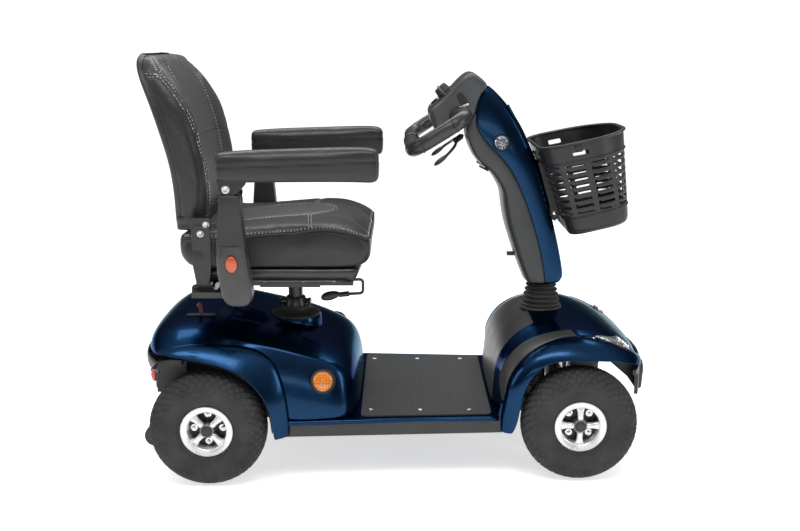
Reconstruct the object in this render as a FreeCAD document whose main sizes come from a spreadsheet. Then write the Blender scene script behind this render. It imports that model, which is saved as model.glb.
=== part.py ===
import FreeCAD, Part
import math
import os
import Sketcher

# Mobility scooter with four wheels, a tilting tiller and a swivelling captain's seat.
# Millimetres, +X towards the front, +Y to the rider's left, +Z up.
# The origin is on the ground, under the middle of the scooter.

DOC = FreeCAD.newDocument("MobilityScooter")
SHEET = DOC.addObject("Spreadsheet::Sheet", "Sizes")
V = FreeCAD.Vector

DRIVING_SIZES = {
    "rear_axle_x": -419.3,
    "front_axle_x": 423.0,
    "axle_height": 133.0,
    "tyre_radius": 133.0,
    "tyre_width": 85.0,
    "rim_radius": 60.0,
    "rim_width": 64.0,
    "rear_wheel_y": 253.5,
    "front_wheel_y": 224.5,
    "spindle_radius": 8.0,
    "running_gap": 0.05,
    "deck_height": 146.0,
    "deck_underside": 108.0,
    "deck_half_rear": 256.0,
    "deck_half_front": 228.0,
    "wall": 3.0,
    "rail_half_gap": 40.0,
    "rail_width": 30.0,
    "rail_low": 100.0,
    "rail_high": 135.0,
    "kingpin_y": 172.0,
    "kingpin_radius": 8.0,
    "steering_x": 360.0,
    "stem_radius": 16.0,
    "arm_reach": 45.0,
    "linkage_height": 163.0,
    "tilt_height": 380.0,
    "loop_tube_radius": 17.0,
    "seat_axis_x": -243.0,
    "seat_post_radius": 17.5,
    "swivel_height": 424.0,
    "rail_top": 452.0,
    "pan_top": 488.0,
    "recline_x": -424.0,
    "recline_z": 573.0,
    "arm_outer_y": 292.0,
    "arm_inner_y": 255.0,
    "arm_pivot_x": -355.0,
    "arm_pivot_z": 679.0,
    "anti_tip_x": -578.0,
    "anti_tip_z": 53.0,
    "anti_tip_radius": 26.0,
}


class Size:
    """A length with its value and the sheet formula that drives it."""

    def __init__(self, value, text):
        self.value = float(value)
        self.text = text

    def __float__(self):
        return self.value

    def __neg__(self):
        return Size(-self.value, "-(%s)" % self.text)

    def __add__(self, other):
        return Size(self.value + float(other), "(%s + %s)" % (self.text, formula(other)))

    def __radd__(self, other):
        return self + other

    def __sub__(self, other):
        return self + (-other)

    def __rsub__(self, other):
        return (-self) + other

    def __mul__(self, factor):
        return Size(self.value * factor, "(%s * %s)" % (self.text, factor))

    def __rmul__(self, factor):
        return self * factor


def formula(length):
    """The sheet formula of a Size, or a plain number as text."""
    return length.text if isinstance(length, Size) else repr(float(length))


def fill_sheet():
    """Writes each driving size to the sheet and returns them all as Size values."""
    for row, (alias, value) in enumerate(DRIVING_SIZES.items(), start=1):
        SHEET.set("A%d" % row, alias)
        SHEET.set("B%d" % row, str(value))
        SHEET.setAlias("B%d" % row, alias)
    DOC.recompute()
    return {alias: Size(value, "Sizes." + alias) for alias, value in DRIVING_SIZES.items()}


S = fill_sheet()
NODES = []


def node(label, item):
    """Names a finished sub-part; the label is also its file's name."""
    item.Label = label
    NODES.append(item)
    return item


# ---- Part primitives bound to the sheet --------------------------------------------------

def bound(kind, name, **lengths):
    item = DOC.addObject("Part::" + kind, name)
    for prop, length in lengths.items():
        item.setExpression(prop, formula(length))
    return item


def put(item, x, y, z, rotation=None):
    item.Placement = FreeCAD.Placement(V(float(x), float(y), float(z)), rotation or FreeCAD.Rotation())
    for axis, length in zip("xyz", (x, y, z)):
        if isinstance(length, Size):
            item.setExpression("Placement.Base." + axis, formula(length))
    return item


def block(low, high, name="Block"):
    """A box between two corners."""
    sides = [h - l for l, h in zip(low, high)]
    item = bound("Box", name, Length=sides[0], Width=sides[1], Height=sides[2])
    return put(item, *low)


TURN = {
    "x": FreeCAD.Rotation(V(0, 1, 0), 90),
    "y": FreeCAD.Rotation(V(1, 0, 0), -90),
    "z": FreeCAD.Rotation(),
}


def rod(radius, start, length, axis, name="Rod"):
    """A cylinder that starts at a point and runs along +X, +Y or +Z."""
    item = bound("Cylinder", name, Radius=radius, Height=length)
    return put(item, *start, rotation=TURN[axis])


def fuse(*items, name="Fused"):
    item = DOC.addObject("Part::MultiFuse", name)
    item.Shapes = list(items)
    item.Refine = True
    return item


def cut(base, *tools, name="Cut"):
    item = DOC.addObject("Part::Cut", name)
    item.Base = base
    item.Tool = tools[0] if len(tools) == 1 else fuse(*tools)
    item.Refine = True
    return item


def group(*items, name="Group"):
    """Separate solids that share one node."""
    item = DOC.addObject("Part::Compound", name)
    item.Links = list(items)
    return item


# ---- PartDesign bodies bound to the sheet ------------------------------------------------

def new_body(name):
    return DOC.addObject("PartDesign::Body", name)


def new_sketch(body, plane):
    sketch = body.newObject("Sketcher::SketchObject", "Sketch")
    origin = [item for item in body.Origin.OriginFeatures if item.Role == plane + "_Plane"][0]
    sketch.AttachmentSupport = [(origin, "")]
    sketch.MapMode = "FlatFace"
    return sketch


def hold(sketch, kind, geometry, point, length):
    """Holds one coordinate of a sketch point at a length from the sketch's origin."""
    index = sketch.addConstraint(Sketcher.Constraint(kind, -1, 1, geometry, point, float(length)))
    if isinstance(length, Size):
        sketch.setExpression("Constraints[%d]" % index, formula(length))


def outline(sketch, points):
    """A closed outline of straight edges whose corners are held by dimensions."""
    first = sketch.GeometryCount
    corners = [V(float(a), float(b), 0) for a, b in points]
    for corner, following in zip(corners, corners[1:] + corners[:1]):
        sketch.addGeometry(Part.LineSegment(corner, following))
    for step, (a, b) in enumerate(points):
        before = first + (step - 1) % len(points)
        sketch.addConstraint(Sketcher.Constraint("Coincident", before, 2, first + step, 1))
        hold(sketch, "DistanceX", first + step, 1, a)
        hold(sketch, "DistanceY", first + step, 1, b)


def pad(body, sketch, length, symmetric=False):
    feature = body.newObject("PartDesign::Pad", "Pad")
    feature.Profile = sketch
    feature.SideType = "Symmetric" if symmetric else "One side"
    feature.setExpression("Length", formula(length))
    DOC.recompute()
    return feature


def pocket_through(body, sketch):
    """A pocket both ways from its sketch, checked to take material away."""
    before = body.Shape.Volume
    feature = body.newObject("PartDesign::Pocket", "Pocket")
    feature.Profile = sketch
    feature.SideType = "Symmetric"
    feature.Length = 2000
    DOC.recompute()
    if body.Shape.Volume >= before:
        raise RuntimeError("a pocket in %s cuts nothing" % body.Name)
    return feature


def revolve(body, sketch, axis):
    feature = body.newObject("PartDesign::Revolution", "Revolution")
    feature.Profile = sketch
    feature.ReferenceAxis = (sketch, [axis])
    feature.Angle = 360
    DOC.recompute()
    return feature


def round_edges(body, radius, wanted):
    """Fillets the edges of a body for which wanted(edge) is true."""
    tip = body.Tip
    names = ["Edge%d" % (i + 1) for i, edge in enumerate(tip.Shape.Edges) if wanted(edge)]
    feature = body.newObject("PartDesign::Fillet", "Fillet")
    feature.Base = (tip, names)
    feature.Radius = radius
    DOC.recompute()
    return feature


def around(feature, count):
    """Repeats a feature of a body evenly about the body's Y axis."""
    body = feature.getParentGeoFeatureGroup()
    pattern = body.newObject("PartDesign::PolarPattern", "Pattern")
    pattern.Originals = [feature]
    axis = [item for item in body.Origin.OriginFeatures if item.Role == "Y_Axis"][0]
    pattern.Axis = (axis, [""])
    pattern.Angle = 360
    pattern.Occurrences = count
    body.Tip = pattern
    DOC.recompute()
    return pattern


# ---- Shapes that no primitive makes: lofted shells, cushions and bent tubes ---------------

def shaped(name, shape):
    """A Part::Feature with a shape of its own."""
    item = DOC.addObject("Part::Feature", name)
    item.Shape = shape
    return item


def crown_wire(x, half, base, top, power):
    """An upright arch across the scooter at one X, closed by a straight lower edge."""
    steps = 16
    points = []
    for step in range(steps + 1):
        angle = math.pi * step / steps
        side = math.copysign(abs(math.cos(angle)) ** (2 / power), math.cos(angle))
        rise = math.sin(angle) ** (2 / power) if 0 < step < steps else 0
        points.append(V(x, half * side, base + (top - base) * rise))
    arch = Part.BSplineCurve()
    arch.interpolate(points)
    sill = Part.LineSegment(points[-1], points[0])
    return Part.Wire([arch.toShape(), sill.toShape()])


def oval_wire(centre, across, along, half_across, half_along, power):
    """A closed superellipse with its two half widths along two directions."""
    steps = 28
    points = []
    for step in range(steps):
        angle = 2 * math.pi * step / steps
        a = math.copysign(abs(math.cos(angle)) ** (2 / power), math.cos(angle))
        b = math.copysign(abs(math.sin(angle)) ** (2 / power), math.sin(angle))
        points.append(centre + across * (half_across * a) + along * (half_along * b))
    curve = Part.BSplineCurve()
    curve.interpolate(points, PeriodicFlag=True)
    return Part.Wire([curve.toShape()])


def crowned_shell(stations, base, wall):
    """A hollow cover, open underneath, from (x, half width, top, power) stations."""
    outer = Part.makeLoft([crown_wire(x, half, base, top, power) for x, half, top, power in stations], True)
    first, last = stations[0][0], stations[-1][0]
    span = last - first
    inner_wires = []
    for x, half, top, power in stations:
        inset_x = first + wall + (x - first) * (span - 2 * wall) / span
        inner_wires.append(crown_wire(inset_x, half - wall, base - 20, top - wall, power))
    inner = Part.makeLoft(inner_wires, True)
    return outer, inner


def prism(points, depth_axis, low, high):
    """A straight-sided solid over an outline, from low to high along one axis."""
    place = {"y": lambda a, b: V(a, low, b), "z": lambda a, b: V(a, b, low)}[depth_axis]
    corners = [place(float(a), float(b)) for a, b in points]
    face = Part.Face(Part.makePolygon(corners + corners[:1]))
    push = V(0, high - low, 0) if depth_axis == "y" else V(0, 0, high - low)
    return face.extrude(push)


def bar(radius, start, end):
    """A round bar between two points."""
    line = end - start
    return Part.makeCylinder(radius, line.Length, start, line)


def bent_tube(points, radius, bend):
    """A round bar through corner points, with every corner turned on an arc."""
    edges = []
    start = points[0]
    for before, corner, after in zip(points, points[1:], points[2:]):
        into = (corner - before).normalize()
        out = (after - corner).normalize()
        turn = math.acos(max(-1.0, min(1.0, into.dot(out))))
        setback = bend * math.tan(turn / 2)
        arc_start = corner - into * setback
        arc_end = corner + out * setback
        bulge = (out - into).normalize()
        middle = corner + bulge * (bend / math.cos(turn / 2) - bend)
        edges.append(Part.LineSegment(start, arc_start).toShape())
        edges.append(Part.Arc(arc_start, middle, arc_end).toShape())
        start = arc_end
    edges.append(Part.LineSegment(start, points[-1]).toShape())
    path = Part.Wire(edges)
    direction = (points[1] - points[0]).normalize()
    section = Part.Wire([Part.Circle(points[0], direction, radius).toShape()])
    return path.makePipeShell([section], True, False)


def rounded_block(length, width, height, radius, centre, tilt):
    """A box with rounded edges about its centre, tipped about Y by an angle in degrees."""
    shape = Part.makeBox(length, width, height, V(-length / 2, -width / 2, -height / 2))
    shape = shape.makeFillet(radius, shape.Edges)
    shape.rotate(V(0, 0, 0), V(0, 1, 0), tilt)
    shape.translate(centre)
    return shape


def one_solid(shape):
    """The only solid of a boolean's result."""
    solids = shape.Solids
    if len(solids) != 1:
        raise RuntimeError("expected one solid, not %d" % len(solids))
    return solids[0]


# ---- Wheels ------------------------------------------------------------------------------

def tyre_profile(bead_radius):
    half = S["tyre_width"] * 0.5
    tread = S["tyre_radius"]
    seat_half = S["rim_width"] * 0.5 - 4
    return [
        (-seat_half, bead_radius),
        (seat_half, bead_radius),
        (seat_half, S["rim_radius"] + 0.5),
        (half - 4, tread - 55),
        (half, tread - 36),
        (half - 2, tread - 18),
        (half - 12, tread - 5),
        (half - 28, tread),
        (-half + 28, tread),
        (-half + 12, tread - 5),
        (-half + 2, tread - 18),
        (-half, tread - 36),
        (-half + 4, tread - 55),
        (-seat_half, S["rim_radius"] + 0.5),
    ]


def tyre(name, x, y):
    body = new_body(name)
    sketch = new_sketch(body, "YZ")
    outline(sketch, tyre_profile(S["rim_radius"] - 8))
    revolve(body, sketch, "H_Axis")
    return node(name, put(body, x, y, S["axle_height"]))


def rim_profile(side):
    """Barrel, flanges, spoke disc near the outer side, and hub, as one outline."""
    edge = S["rim_width"] * 0.5
    barrel = S["rim_radius"] - 8
    flange = S["rim_radius"]
    bore = S["spindle_radius"]
    return [
        (-edge * side, barrel - 6),
        (-edge * side, flange),
        (-(edge - 4) * side, flange),
        (-(edge - 4) * side, barrel),
        ((edge - 4) * side, barrel),
        ((edge - 4) * side, flange),
        (edge * side, flange),
        (edge * side, barrel - 6),
        (16 * side, barrel - 6),
        (16 * side, 20),
        (24 * side, 20),
        (24 * side, bore),
        (-20 * side, bore),
        (-20 * side, 20),
        (6 * side, 20),
        (6 * side, barrel - 6),
    ]


def rim(name, x, y, side):
    """A wheel with four spokes; side is +1 where the outer face looks to +Y."""
    body = new_body(name)
    profile = new_sketch(body, "YZ")
    outline(profile, rim_profile(side))
    revolve(body, profile, "H_Axis")
    window = new_sketch(body, "XZ")
    outline(window, [(12, 22), (22, 12), (40, 14), (39, 24), (24, 39), (14, 40)])
    opening = pocket_through(body, window)
    around(opening, 4)
    return node(name, put(body, x, y, S["axle_height"]))


def wheels():
    for end, x, half_track in (
        ("rear", S["rear_axle_x"], S["rear_wheel_y"]),
        ("front", S["front_axle_x"], S["front_wheel_y"]),
    ):
        for label, side in (("left", 1), ("right", -1)):
            tyre("tyre_%s_%s" % (end, label), x, half_track * side)
            rim("rim_%s_%s" % (end, label), x, half_track * side, side)


def anti_tip_wheels():
    for label, side in (("left", 1), ("right", -1)):
        name = "anti_tip_wheel_" + label
        body = new_body(name)
        sketch = new_sketch(body, "YZ")
        outer = S["anti_tip_radius"]
        outline(sketch, [(-12, 5), (12, 5), (12, outer - 4), (8, outer), (-8, outer), (-12, outer - 4)])
        revolve(body, sketch, "H_Axis")
        node(name, put(body, S["anti_tip_x"], 110 * side, S["anti_tip_z"]))


# ---- Chassis -----------------------------------------------------------------------------

def chassis_frame():
    low, high = S["rail_low"], S["rail_high"]
    near = S["rail_half_gap"]
    far = near + S["rail_width"]
    rear = S["rear_axle_x"] + 70
    front = S["front_axle_x"] - 15
    rails = [block((rear, near, low), (front, far, high)), block((rear, -far, low), (front, -near, high))]
    cross_members = [block((x, -near, low), (x + 30, near, high)) for x in (-340, -60, 120, 300)]
    axle_beam = block((front, -S["kingpin_y"] + 12, 118), (front + 30, S["kingpin_y"] - 12, 148))
    pivots = []
    for side in (1, -1):
        boss = rod(14, (S["front_axle_x"], S["kingpin_y"] * side, 106), 54, "z")
        hole = rod(S["kingpin_radius"] + S["running_gap"], (S["front_axle_x"], S["kingpin_y"] * side, 100), 70, "z")
        pivots.append((boss, hole))
    post_foot = block((S["seat_axis_x"] - 30, -near, low), (S["seat_axis_x"] + 30, near, high))
    post_socket = rod(S["seat_post_radius"] + 5, (S["seat_axis_x"], 0, low + 5), 175, "z")
    post_bore = rod(S["seat_post_radius"], (S["seat_axis_x"], 0, 140), 200, "z")
    tower = block((S["steering_x"] + 24, -25, 130), (S["steering_x"] + 36, 25, 330))
    tower_foot = block((S["steering_x"] + 24, -near, low), (front, near, 148))
    head_web = block((S["steering_x"] + 14, -12, 200), (S["steering_x"] + 26, 12, 320))
    head_tube = rod(S["stem_radius"] + 6, (S["steering_x"], 0, 200), 120, "z")
    head_bore = rod(S["stem_radius"] + S["running_gap"], (S["steering_x"], 0, 150), 200, "z")
    rear_plate = block((rear - 25, -far, 90), (rear, far, 170))
    tails = []
    for side in (1, -1):
        y = 88 * side
        tails.append(block((S["anti_tip_x"] - 8, y - 4, 45), (-500, y + 4, 61)))
        tails.append(block((-512, y - 4, 45), (-500, y + 4, 108)))
        tails.append(block((-512, y - 4, 96), (rear, y + 4, 108)))
        tails.append(rod(4.95, (S["anti_tip_x"], y if side > 0 else y - 36, S["anti_tip_z"]), 36, "y"))
    yoke = block((rear - 25, -92, 96), (rear, 92, 108))
    whole = fuse(*rails, *cross_members, axle_beam, *[boss for boss, hole in pivots], post_foot, post_socket,
                 tower, tower_foot, head_web, head_tube, rear_plate, yoke, *tails)
    holes = [hole for boss, hole in pivots]
    return node("chassis_frame", cut(whole, post_bore, head_bore, *holes))


def transaxle():
    """Drive motor, differential housing and the two half shafts the rear wheels turn on."""
    x, z = S["rear_axle_x"], S["axle_height"]
    shaft_end = S["rear_wheel_y"] + 30
    housing = rod(38, (x, -45, z), 90, "y")
    tubes = rod(18, (x, -205, z), 410, "y")
    shafts = rod(S["spindle_radius"] - S["running_gap"], (x, -shaft_end, z), shaft_end * 2, "y")
    motor = rod(42, (x, 55, z + 62), 115, "y")
    gearcase = block((x - 44, 30, z - 10), (x + 44, 62, z + 107))
    lever_foot = block((-452, -108, z - 5), (-420, -104, z + 12))
    lever_post = block((-452, -108, z + 5), (-438, -104, 328))
    lever_hole = rod(4 + S["running_gap"], (-445, -112, 320), 12, "y")
    whole = fuse(housing, tubes, shafts, motor, gearcase, lever_foot, lever_post)
    return node("transaxle", cut(whole, lever_hole))


def batteries():
    items = []
    for side in (1, -1):
        body = new_body("Battery")
        sketch = new_sketch(body, "XY")
        outline(sketch, [(-347, 6), (-271, 6), (-271, 206), (-347, 206)])
        pad(body, sketch, 150)
        round_edges(body, 4, lambda edge: abs(edge.tangentAt(edge.FirstParameter).z) > 0.9)
        put(body, 0, 0 if side > 0 else -212, S["rail_high"] + 1)
        items.append(body)
    return node("batteries", group(*items))


def controller():
    case = block((-205, -70, S["rail_high"] + 12), (-110, 70, S["rail_high"] + 62))
    fins = [block((x, -60, S["rail_high"] + 62), (x + 4, 60, S["rail_high"] + 74)) for x in range(-198, -118, 12)]
    return node("controller", fuse(case, *fins))


def floor_pan():
    """Deck moulding: a shallow upturned tray that narrows towards the front."""
    rear, front = -215.0, 245.0
    half_rear, half_front = float(S["deck_half_rear"]), float(S["deck_half_front"])
    top, low, wall = float(S["deck_height"]), float(S["deck_underside"]), float(S["wall"])
    plan = [(rear, -half_rear), (front, -half_front), (front, half_front), (rear, half_rear)]
    inner = [(rear - 5, -half_rear + wall), (front + 5, -half_front + wall),
             (front + 5, half_front - wall), (rear - 5, half_rear - wall)]
    shell = prism(plan, "z", low + 32, top)
    shell = shell.cut(prism(inner, "z", low - 10, top - wall))
    return node("floor_pan", shaped("floor_pan", one_solid(shell)))


def floor_mat():
    body = new_body("Mat")
    sketch = new_sketch(body, "XY")
    rear_half, front_half = S["deck_half_rear"] - 26, S["deck_half_front"] - 12
    outline(sketch, [(-76, -rear_half), (224, -front_half), (224, front_half), (-76, rear_half)])
    pad(body, sketch, 3)
    round_edges(body, 12, lambda edge: abs(edge.tangentAt(edge.FirstParameter).z) > 0.9)
    put(body, 0, 0, S["deck_height"])
    holes = [rod(6 + S["running_gap"], (x, y, S["deck_height"] - 5), 20, "z") for x, y in screw_spots()]
    return node("floor_mat", cut(body, *holes))


def screw_spots():
    return [(x, 190 * side) for x in (-55, 60, 175) for side in (1, -1)]


def mat_screws():
    """Six screws let in flush, three along each side of the mat."""
    screws = [rod(6, (x, y, S["deck_height"]), 2.8, "z") for x, y in screw_spots()]
    return node("mat_screws", group(*screws))


def sill_trims():
    """Dark strips under the edges of the deck."""
    rear, front = -262.0, 248.0
    half_rear, half_front = float(S["deck_half_rear"]) + 1, float(S["deck_half_front"]) + 1
    low = float(S["deck_underside"])
    strips = []
    for side in (1, -1):
        edge = [(rear, (half_rear - 8) * side), (front, (half_front - 8) * side),
                (front, half_front * side), (rear, half_rear * side)]
        strips.append(prism(edge, "z", low, low + 31.7))
    return node("sill_trims", shaped("sill_trims", Part.makeCompound(strips)))


# ---- Body covers -------------------------------------------------------------------------

REAR_STATIONS = [
    (-578, 130, 262, 3.0), (-570, 190, 292, 3.2), (-550, 232, 320, 3.8), (-520, 262, 343, 4.6),
    (-480, 278, 356, 5.0), (-430, 285, 358, 5.0), (-360, 285, 346, 5.0), (-290, 280, 333, 4.6),
    (-243, 272, 325, 4.0), (-180, 265, 303, 3.6), (-130, 258, 278, 3.4), (-100, 250, 255, 3.2),
    (-84, 238, 218, 3.0), (-78, 224, 180, 3.0),
]

FRONT_STATIONS = [
    (228, 200, 178, 3.2), (237, 222, 247, 3.4), (249, 233, 283, 3.8), (270, 242, 314, 4.4),
    (298, 248, 336, 5.0), (332, 251, 348, 5.6), (380, 254, 350, 6.0), (430, 254, 345, 6.0),
    (480, 248, 331, 5.4), (525, 228, 308, 4.6), (555, 200, 284, 4.0), (575, 165, 262, 3.4),
    (588, 110, 238, 3.0),
]


def arch_cylinder(x, radius, inner_y):
    height = float(S["axle_height"])
    left = Part.makeCylinder(radius, 300, V(x, inner_y, height), V(0, 1, 0))
    right = Part.makeCylinder(radius, 300, V(x, -inner_y, height), V(0, -1, 0))
    return [left, right]


def rear_cover():
    """Seat-base cover: open over the rear wheels, with a foot in front of each wheel."""
    deck = float(S["deck_height"])
    axle = float(S["rear_axle_x"])
    outer, inner = crowned_shell(REAR_STATIONS, 118, float(S["wall"]))
    behind_wheels = Part.makeBox(axle + 640, 640, 190, V(-640, -320, 110))
    over_deck = Part.makeBox(200, 640, deck - 110, V(-246, -320, 110))
    left, right = arch_cylinder(axle, 166, 100)
    shell = outer.cut(inner).cut(left.fuse([right, behind_wheels, over_deck]))
    post_hole = Part.makeCylinder(float(S["seat_post_radius"]) + 6, 200, V(float(S["seat_axis_x"]), 0, 200))
    lever_slot = Part.makeBox(70, 14, 120, V(-485, -127, 300))
    boot_seat = Part.makeCylinder(60.2, 120, V(float(S["seat_axis_x"]), 0, 319.8))
    holes = [reflector_disc(side, 0.05) for side in (1, -1)]
    shell = shell.cut([post_hole, lever_slot, boot_seat] + holes)
    collar = Part.makeCylinder(64, 38, V(float(S["seat_axis_x"]), 0, 286))
    collar = collar.cut(Part.makeCylinder(60.2, 60, V(float(S["seat_axis_x"]), 0, 280)))
    shell = max(shell.Solids, key=lambda solid: solid.Volume).fuse(collar.cut(inner))
    return node("rear_cover", shaped("rear_cover", one_solid(shell)))


def rear_bumper():
    """Dark band under the rear edge of the cover, with the skirt that carries the lights."""
    band = plan_band(-584, 520, 10, 214, 264, 298, -1)
    skirt = Part.makeBox(8, 380, 74, V(-548, -190, 192))
    joiner = Part.makeBox(22, 320, 8, V(-572, -160, 264))
    sides = [Part.makeBox(70, 6, 74, V(-548, y, 192)) for y in (-190, 184)]
    sides += [Part.makeBox(64, 30, 6, V(-548, y, 292)) for y in (-214, 184)]
    sides += [Part.makeBox(64, 6, 34, V(-548, y, 264)) for y in (-214, 208)]
    sides += [Part.makeBox(64, 30, 6, V(-548, y, 264)) for y in (-214, 184)]
    shape = band.fuse([skirt, joiner] + sides).removeSplitter()
    return node("rear_bumper", shaped("rear_bumper", one_solid(shape)))


def plan_band(reach, radius, thick, half, low, high, facing):
    """A band bowed in plan; facing is +1 at the front and -1 at the rear."""
    centre = reach - radius * facing
    outer = Part.makeCylinder(radius, high - low, V(centre, 0, low))
    inner = Part.makeCylinder(radius - thick, high - low, V(centre, 0, low))
    ring = outer.cut(inner)
    window = Part.makeBox(radius, half * 2, high - low, V(min(centre, centre + radius * facing), -half, low))
    return ring.common(window)


def tail_lights():
    lamps = []
    for side in (1, -1):
        body = new_body("TailLight")
        sketch = new_sketch(body, "YZ")
        outline(sketch, [(-24, 214), (24, 214), (24, 250), (20, 260), (-20, 260), (-24, 250)])
        pad(body, sketch, 13)
        lamps.append(put(body, -561.2, 158 * side, 0))
    return node("tail_lights", group(*lamps))


def reflector_disc(side, gap):
    """The drum of a side reflector, which looks outwards and a little up."""
    lean = math.radians(12)
    facing = V(0, math.cos(lean) * side, math.sin(lean))
    return Part.makeCylinder(25 + gap, 30, V(-160, 246 * side, 238) - facing * 22, facing)


def side_reflectors():
    """Round amber reflectors in black rims, one on each side of the rear cover."""
    discs = [reflector_disc(side, 0) for side in (1, -1)]
    return node("side_reflectors", shaped("side_reflectors", Part.makeCompound(discs)))


def wing_band():
    """The sweep of the trim bands, as a solid that reaches through both front wings."""
    low = V(0, -280, 0)
    outer = Part.Arc(V(250, 0, 178) + low, V(284, 0, 272) + low, V(356, 0, 322) + low).toShape()
    inner = Part.Arc(V(356, 0, 312) + low, V(298, 0, 262) + low, V(266, 0, 178) + low).toShape()
    tip = Part.LineSegment(V(356, 0, 322) + low, V(356, 0, 312) + low).toShape()
    foot = Part.LineSegment(V(266, 0, 178) + low, V(250, 0, 178) + low).toShape()
    sweep = Part.Face(Part.Wire([outer, tip, inner, foot])).extrude(V(0, 560, 0))
    return sweep.cut(Part.makeBox(300, 304, 400, V(200, -152, 0)))


def light_zone():
    """The spaces of the two headlights in the front corners of the bonnet."""
    zones = []
    for side in (1, -1):
        side_view = [(488, 318), (500, 324), (534, 316), (552, 296), (536, 290), (508, 298)]
        zones.append(prism(side_view, "y", *sorted((150 * side, 260 * side))))
    return zones


def front_cover():
    """Bonnet with the leg shield, wing bands and headlights let into it."""
    base = float(S["deck_underside"]) + 2
    axle = float(S["front_axle_x"])
    half = float(S["deck_half_front"]) + 1.7
    outer, inner = crowned_shell(FRONT_STATIONS, base, float(S["wall"]))
    left, right = arch_cylinder(axle, 156, 92)
    underside = Part.makeBox(220, 640, 172, V(axle, -320, 80))
    between_wheels = Part.makeBox(110, 186, 142, V(axle - 110, -93, 80))
    over_deck = Part.makeBox(100, half * 2, 60, V(200, -half, 90))
    shell = outer.cut(inner).cut(left.fuse([right, underside, between_wheels, over_deck]))
    shell = shell.cut(Part.makeCylinder(40, 100, V(float(S["steering_x"]), 0, 300)))
    shell = max(shell.Solids, key=lambda solid: solid.Volume)
    shield_zone = Part.makeBox(110, 290, 260, V(200, -145, 140))
    shield = max(shell.common(shield_zone).Solids, key=lambda solid: solid.Volume)
    bands = shell.common(wing_band())
    lenses = shell.common(Part.makeCompound(light_zone()))
    cover = shell.cut([shield_zone, wing_band()] + light_zone())
    node("front_cover", shaped("front_cover", max(cover.Solids, key=lambda solid: solid.Volume)))
    node("leg_shield", shaped("leg_shield", shield))
    node("front_trims", shaped("front_trims", Part.makeCompound(bands.Solids)))
    return node("headlights", shaped("headlights", Part.makeCompound(lenses.Solids)))


def front_bumper():
    """Bowed apron under the nose, its lower corners cut back."""
    band = plan_band(597, 522, 8, 165, 178, 248, 1)
    wings = plan_band(597, 522, 8, 200, 236, 248, 1)
    arms = [Part.makeBox(160, 12, 6, V(430, y, 236)) for y in (-60, 48)]
    struts = [Part.makeBox(8, 12, 94, V(430, y, 148)) for y in (-60, 48)]
    shape = band.fuse([wings] + arms + struts).removeSplitter()
    return node("front_bumper", shaped("front_bumper", one_solid(shape)))


# ---- Steering ----------------------------------------------------------------------------

def steering_stem():
    x = S["steering_x"]
    level = S["linkage_height"]
    shaft = rod(S["stem_radius"], (x, 0, level - 6), 340 - float(level) + 6, "z")
    collar = rod(S["stem_radius"] + 5, (x, 0, 320.4), 12, "z")
    pitman = block((x - S["arm_reach"] - 10, -11, level), (x, 11, level + 8))
    pin = rod(4, (x - S["arm_reach"], 0, level - 9), 26, "z")
    fork = block((x - 14, -24, 334), (x + 14, 24, S["tilt_height"] + 14))
    slot = block((x - 20, -14, 345), (x + 20, 14, S["tilt_height"] + 20))
    hinge_hole = rod(8 + S["running_gap"], (x, -30, S["tilt_height"]), 60, "y")
    return node("steering_stem", cut(fuse(shaft, collar, pitman, pin, fork), slot, hinge_hole))


def tiller_bellows():
    """Ribbed rubber gaiter between the bonnet and the tiller."""
    body = new_body("tiller_bellows")
    sketch = new_sketch(body, "XZ")
    ribs = 5
    low, high = 352.0, 405.0
    pitch = (high - low) / ribs
    outer = []
    for rib in range(ribs):
        valley = 44 - 10 * rib / ribs
        outer.append((valley, low + rib * pitch))
        outer.append((valley + 3.5, low + (rib + 0.5) * pitch))
    outer.append((34.0, high))
    inner = [(30.5, high), (38.5, low)]
    outline(sketch, outer + inner)
    revolve(body, sketch, "V_Axis")
    return node("tiller_bellows", put(body, S["steering_x"], 0, 0))


def tie_rod(name, side):
    """A rod that links the pitman arm to a knuckle, one above and one below the arms."""
    level = float(S["linkage_height"]) + (8.3 if side > 0 else -8.3)
    inner = V(float(S["steering_x"] - S["arm_reach"]), 0, level)
    outer = V(float(S["front_axle_x"] - S["arm_reach"]), float(S["kingpin_y"]) * side, level)
    middle = V(0, 0, 4)
    eyes = [Part.makeCylinder(9, 8, end) for end in (inner, outer)]
    holes = [Part.makeCylinder(4 + float(S["running_gap"]), 20, end - V(0, 0, 6)) for end in (inner, outer)]
    shape = bar(3.8, inner + middle, outer + middle).fuse(eyes).cut(holes)
    return node(name, shaped(name, max(shape.Solids, key=lambda solid: solid.Volume)))


def knuckle(side):
    x, z = S["front_axle_x"], S["axle_height"]
    y = S["kingpin_y"] * side
    level = S["linkage_height"]
    pin = rod(S["kingpin_radius"], (x, y, 96), 76, "z")
    near, far = (y - 12, y + 24) if side > 0 else (y - 24, y + 12)
    top = block((x - 14, near, level), (x + 14, far, level + 8))
    bottom = block((x - 14, near, 96), (x + 14, far, 104))
    web = block((x - 14, y + 15.5, 96), (x + 14, y + 24, level + 8)) if side > 0 else \
        block((x - 14, y - 24, 96), (x + 14, y - 15.5, level + 8))
    length = S["front_wheel_y"] - S["kingpin_y"] + 14
    start = y + 15.5 if side > 0 else y - 15.5 - length
    spindle = rod(S["spindle_radius"] - S["running_gap"], (x, start, z), length, "y")
    arm = block((x - S["arm_reach"] - 9, y - 9, level), (x, y + 9, level + 8))
    pin_low = level - 9 if side < 0 else level
    ball_pin = rod(4, (x - S["arm_reach"], y, pin_low), 17, "z")
    label = "left" if side > 0 else "right"
    return node("knuckle_" + label, fuse(pin, top, bottom, web, spindle, arm, ball_pin))


# ---- Tiller ------------------------------------------------------------------------------

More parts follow.
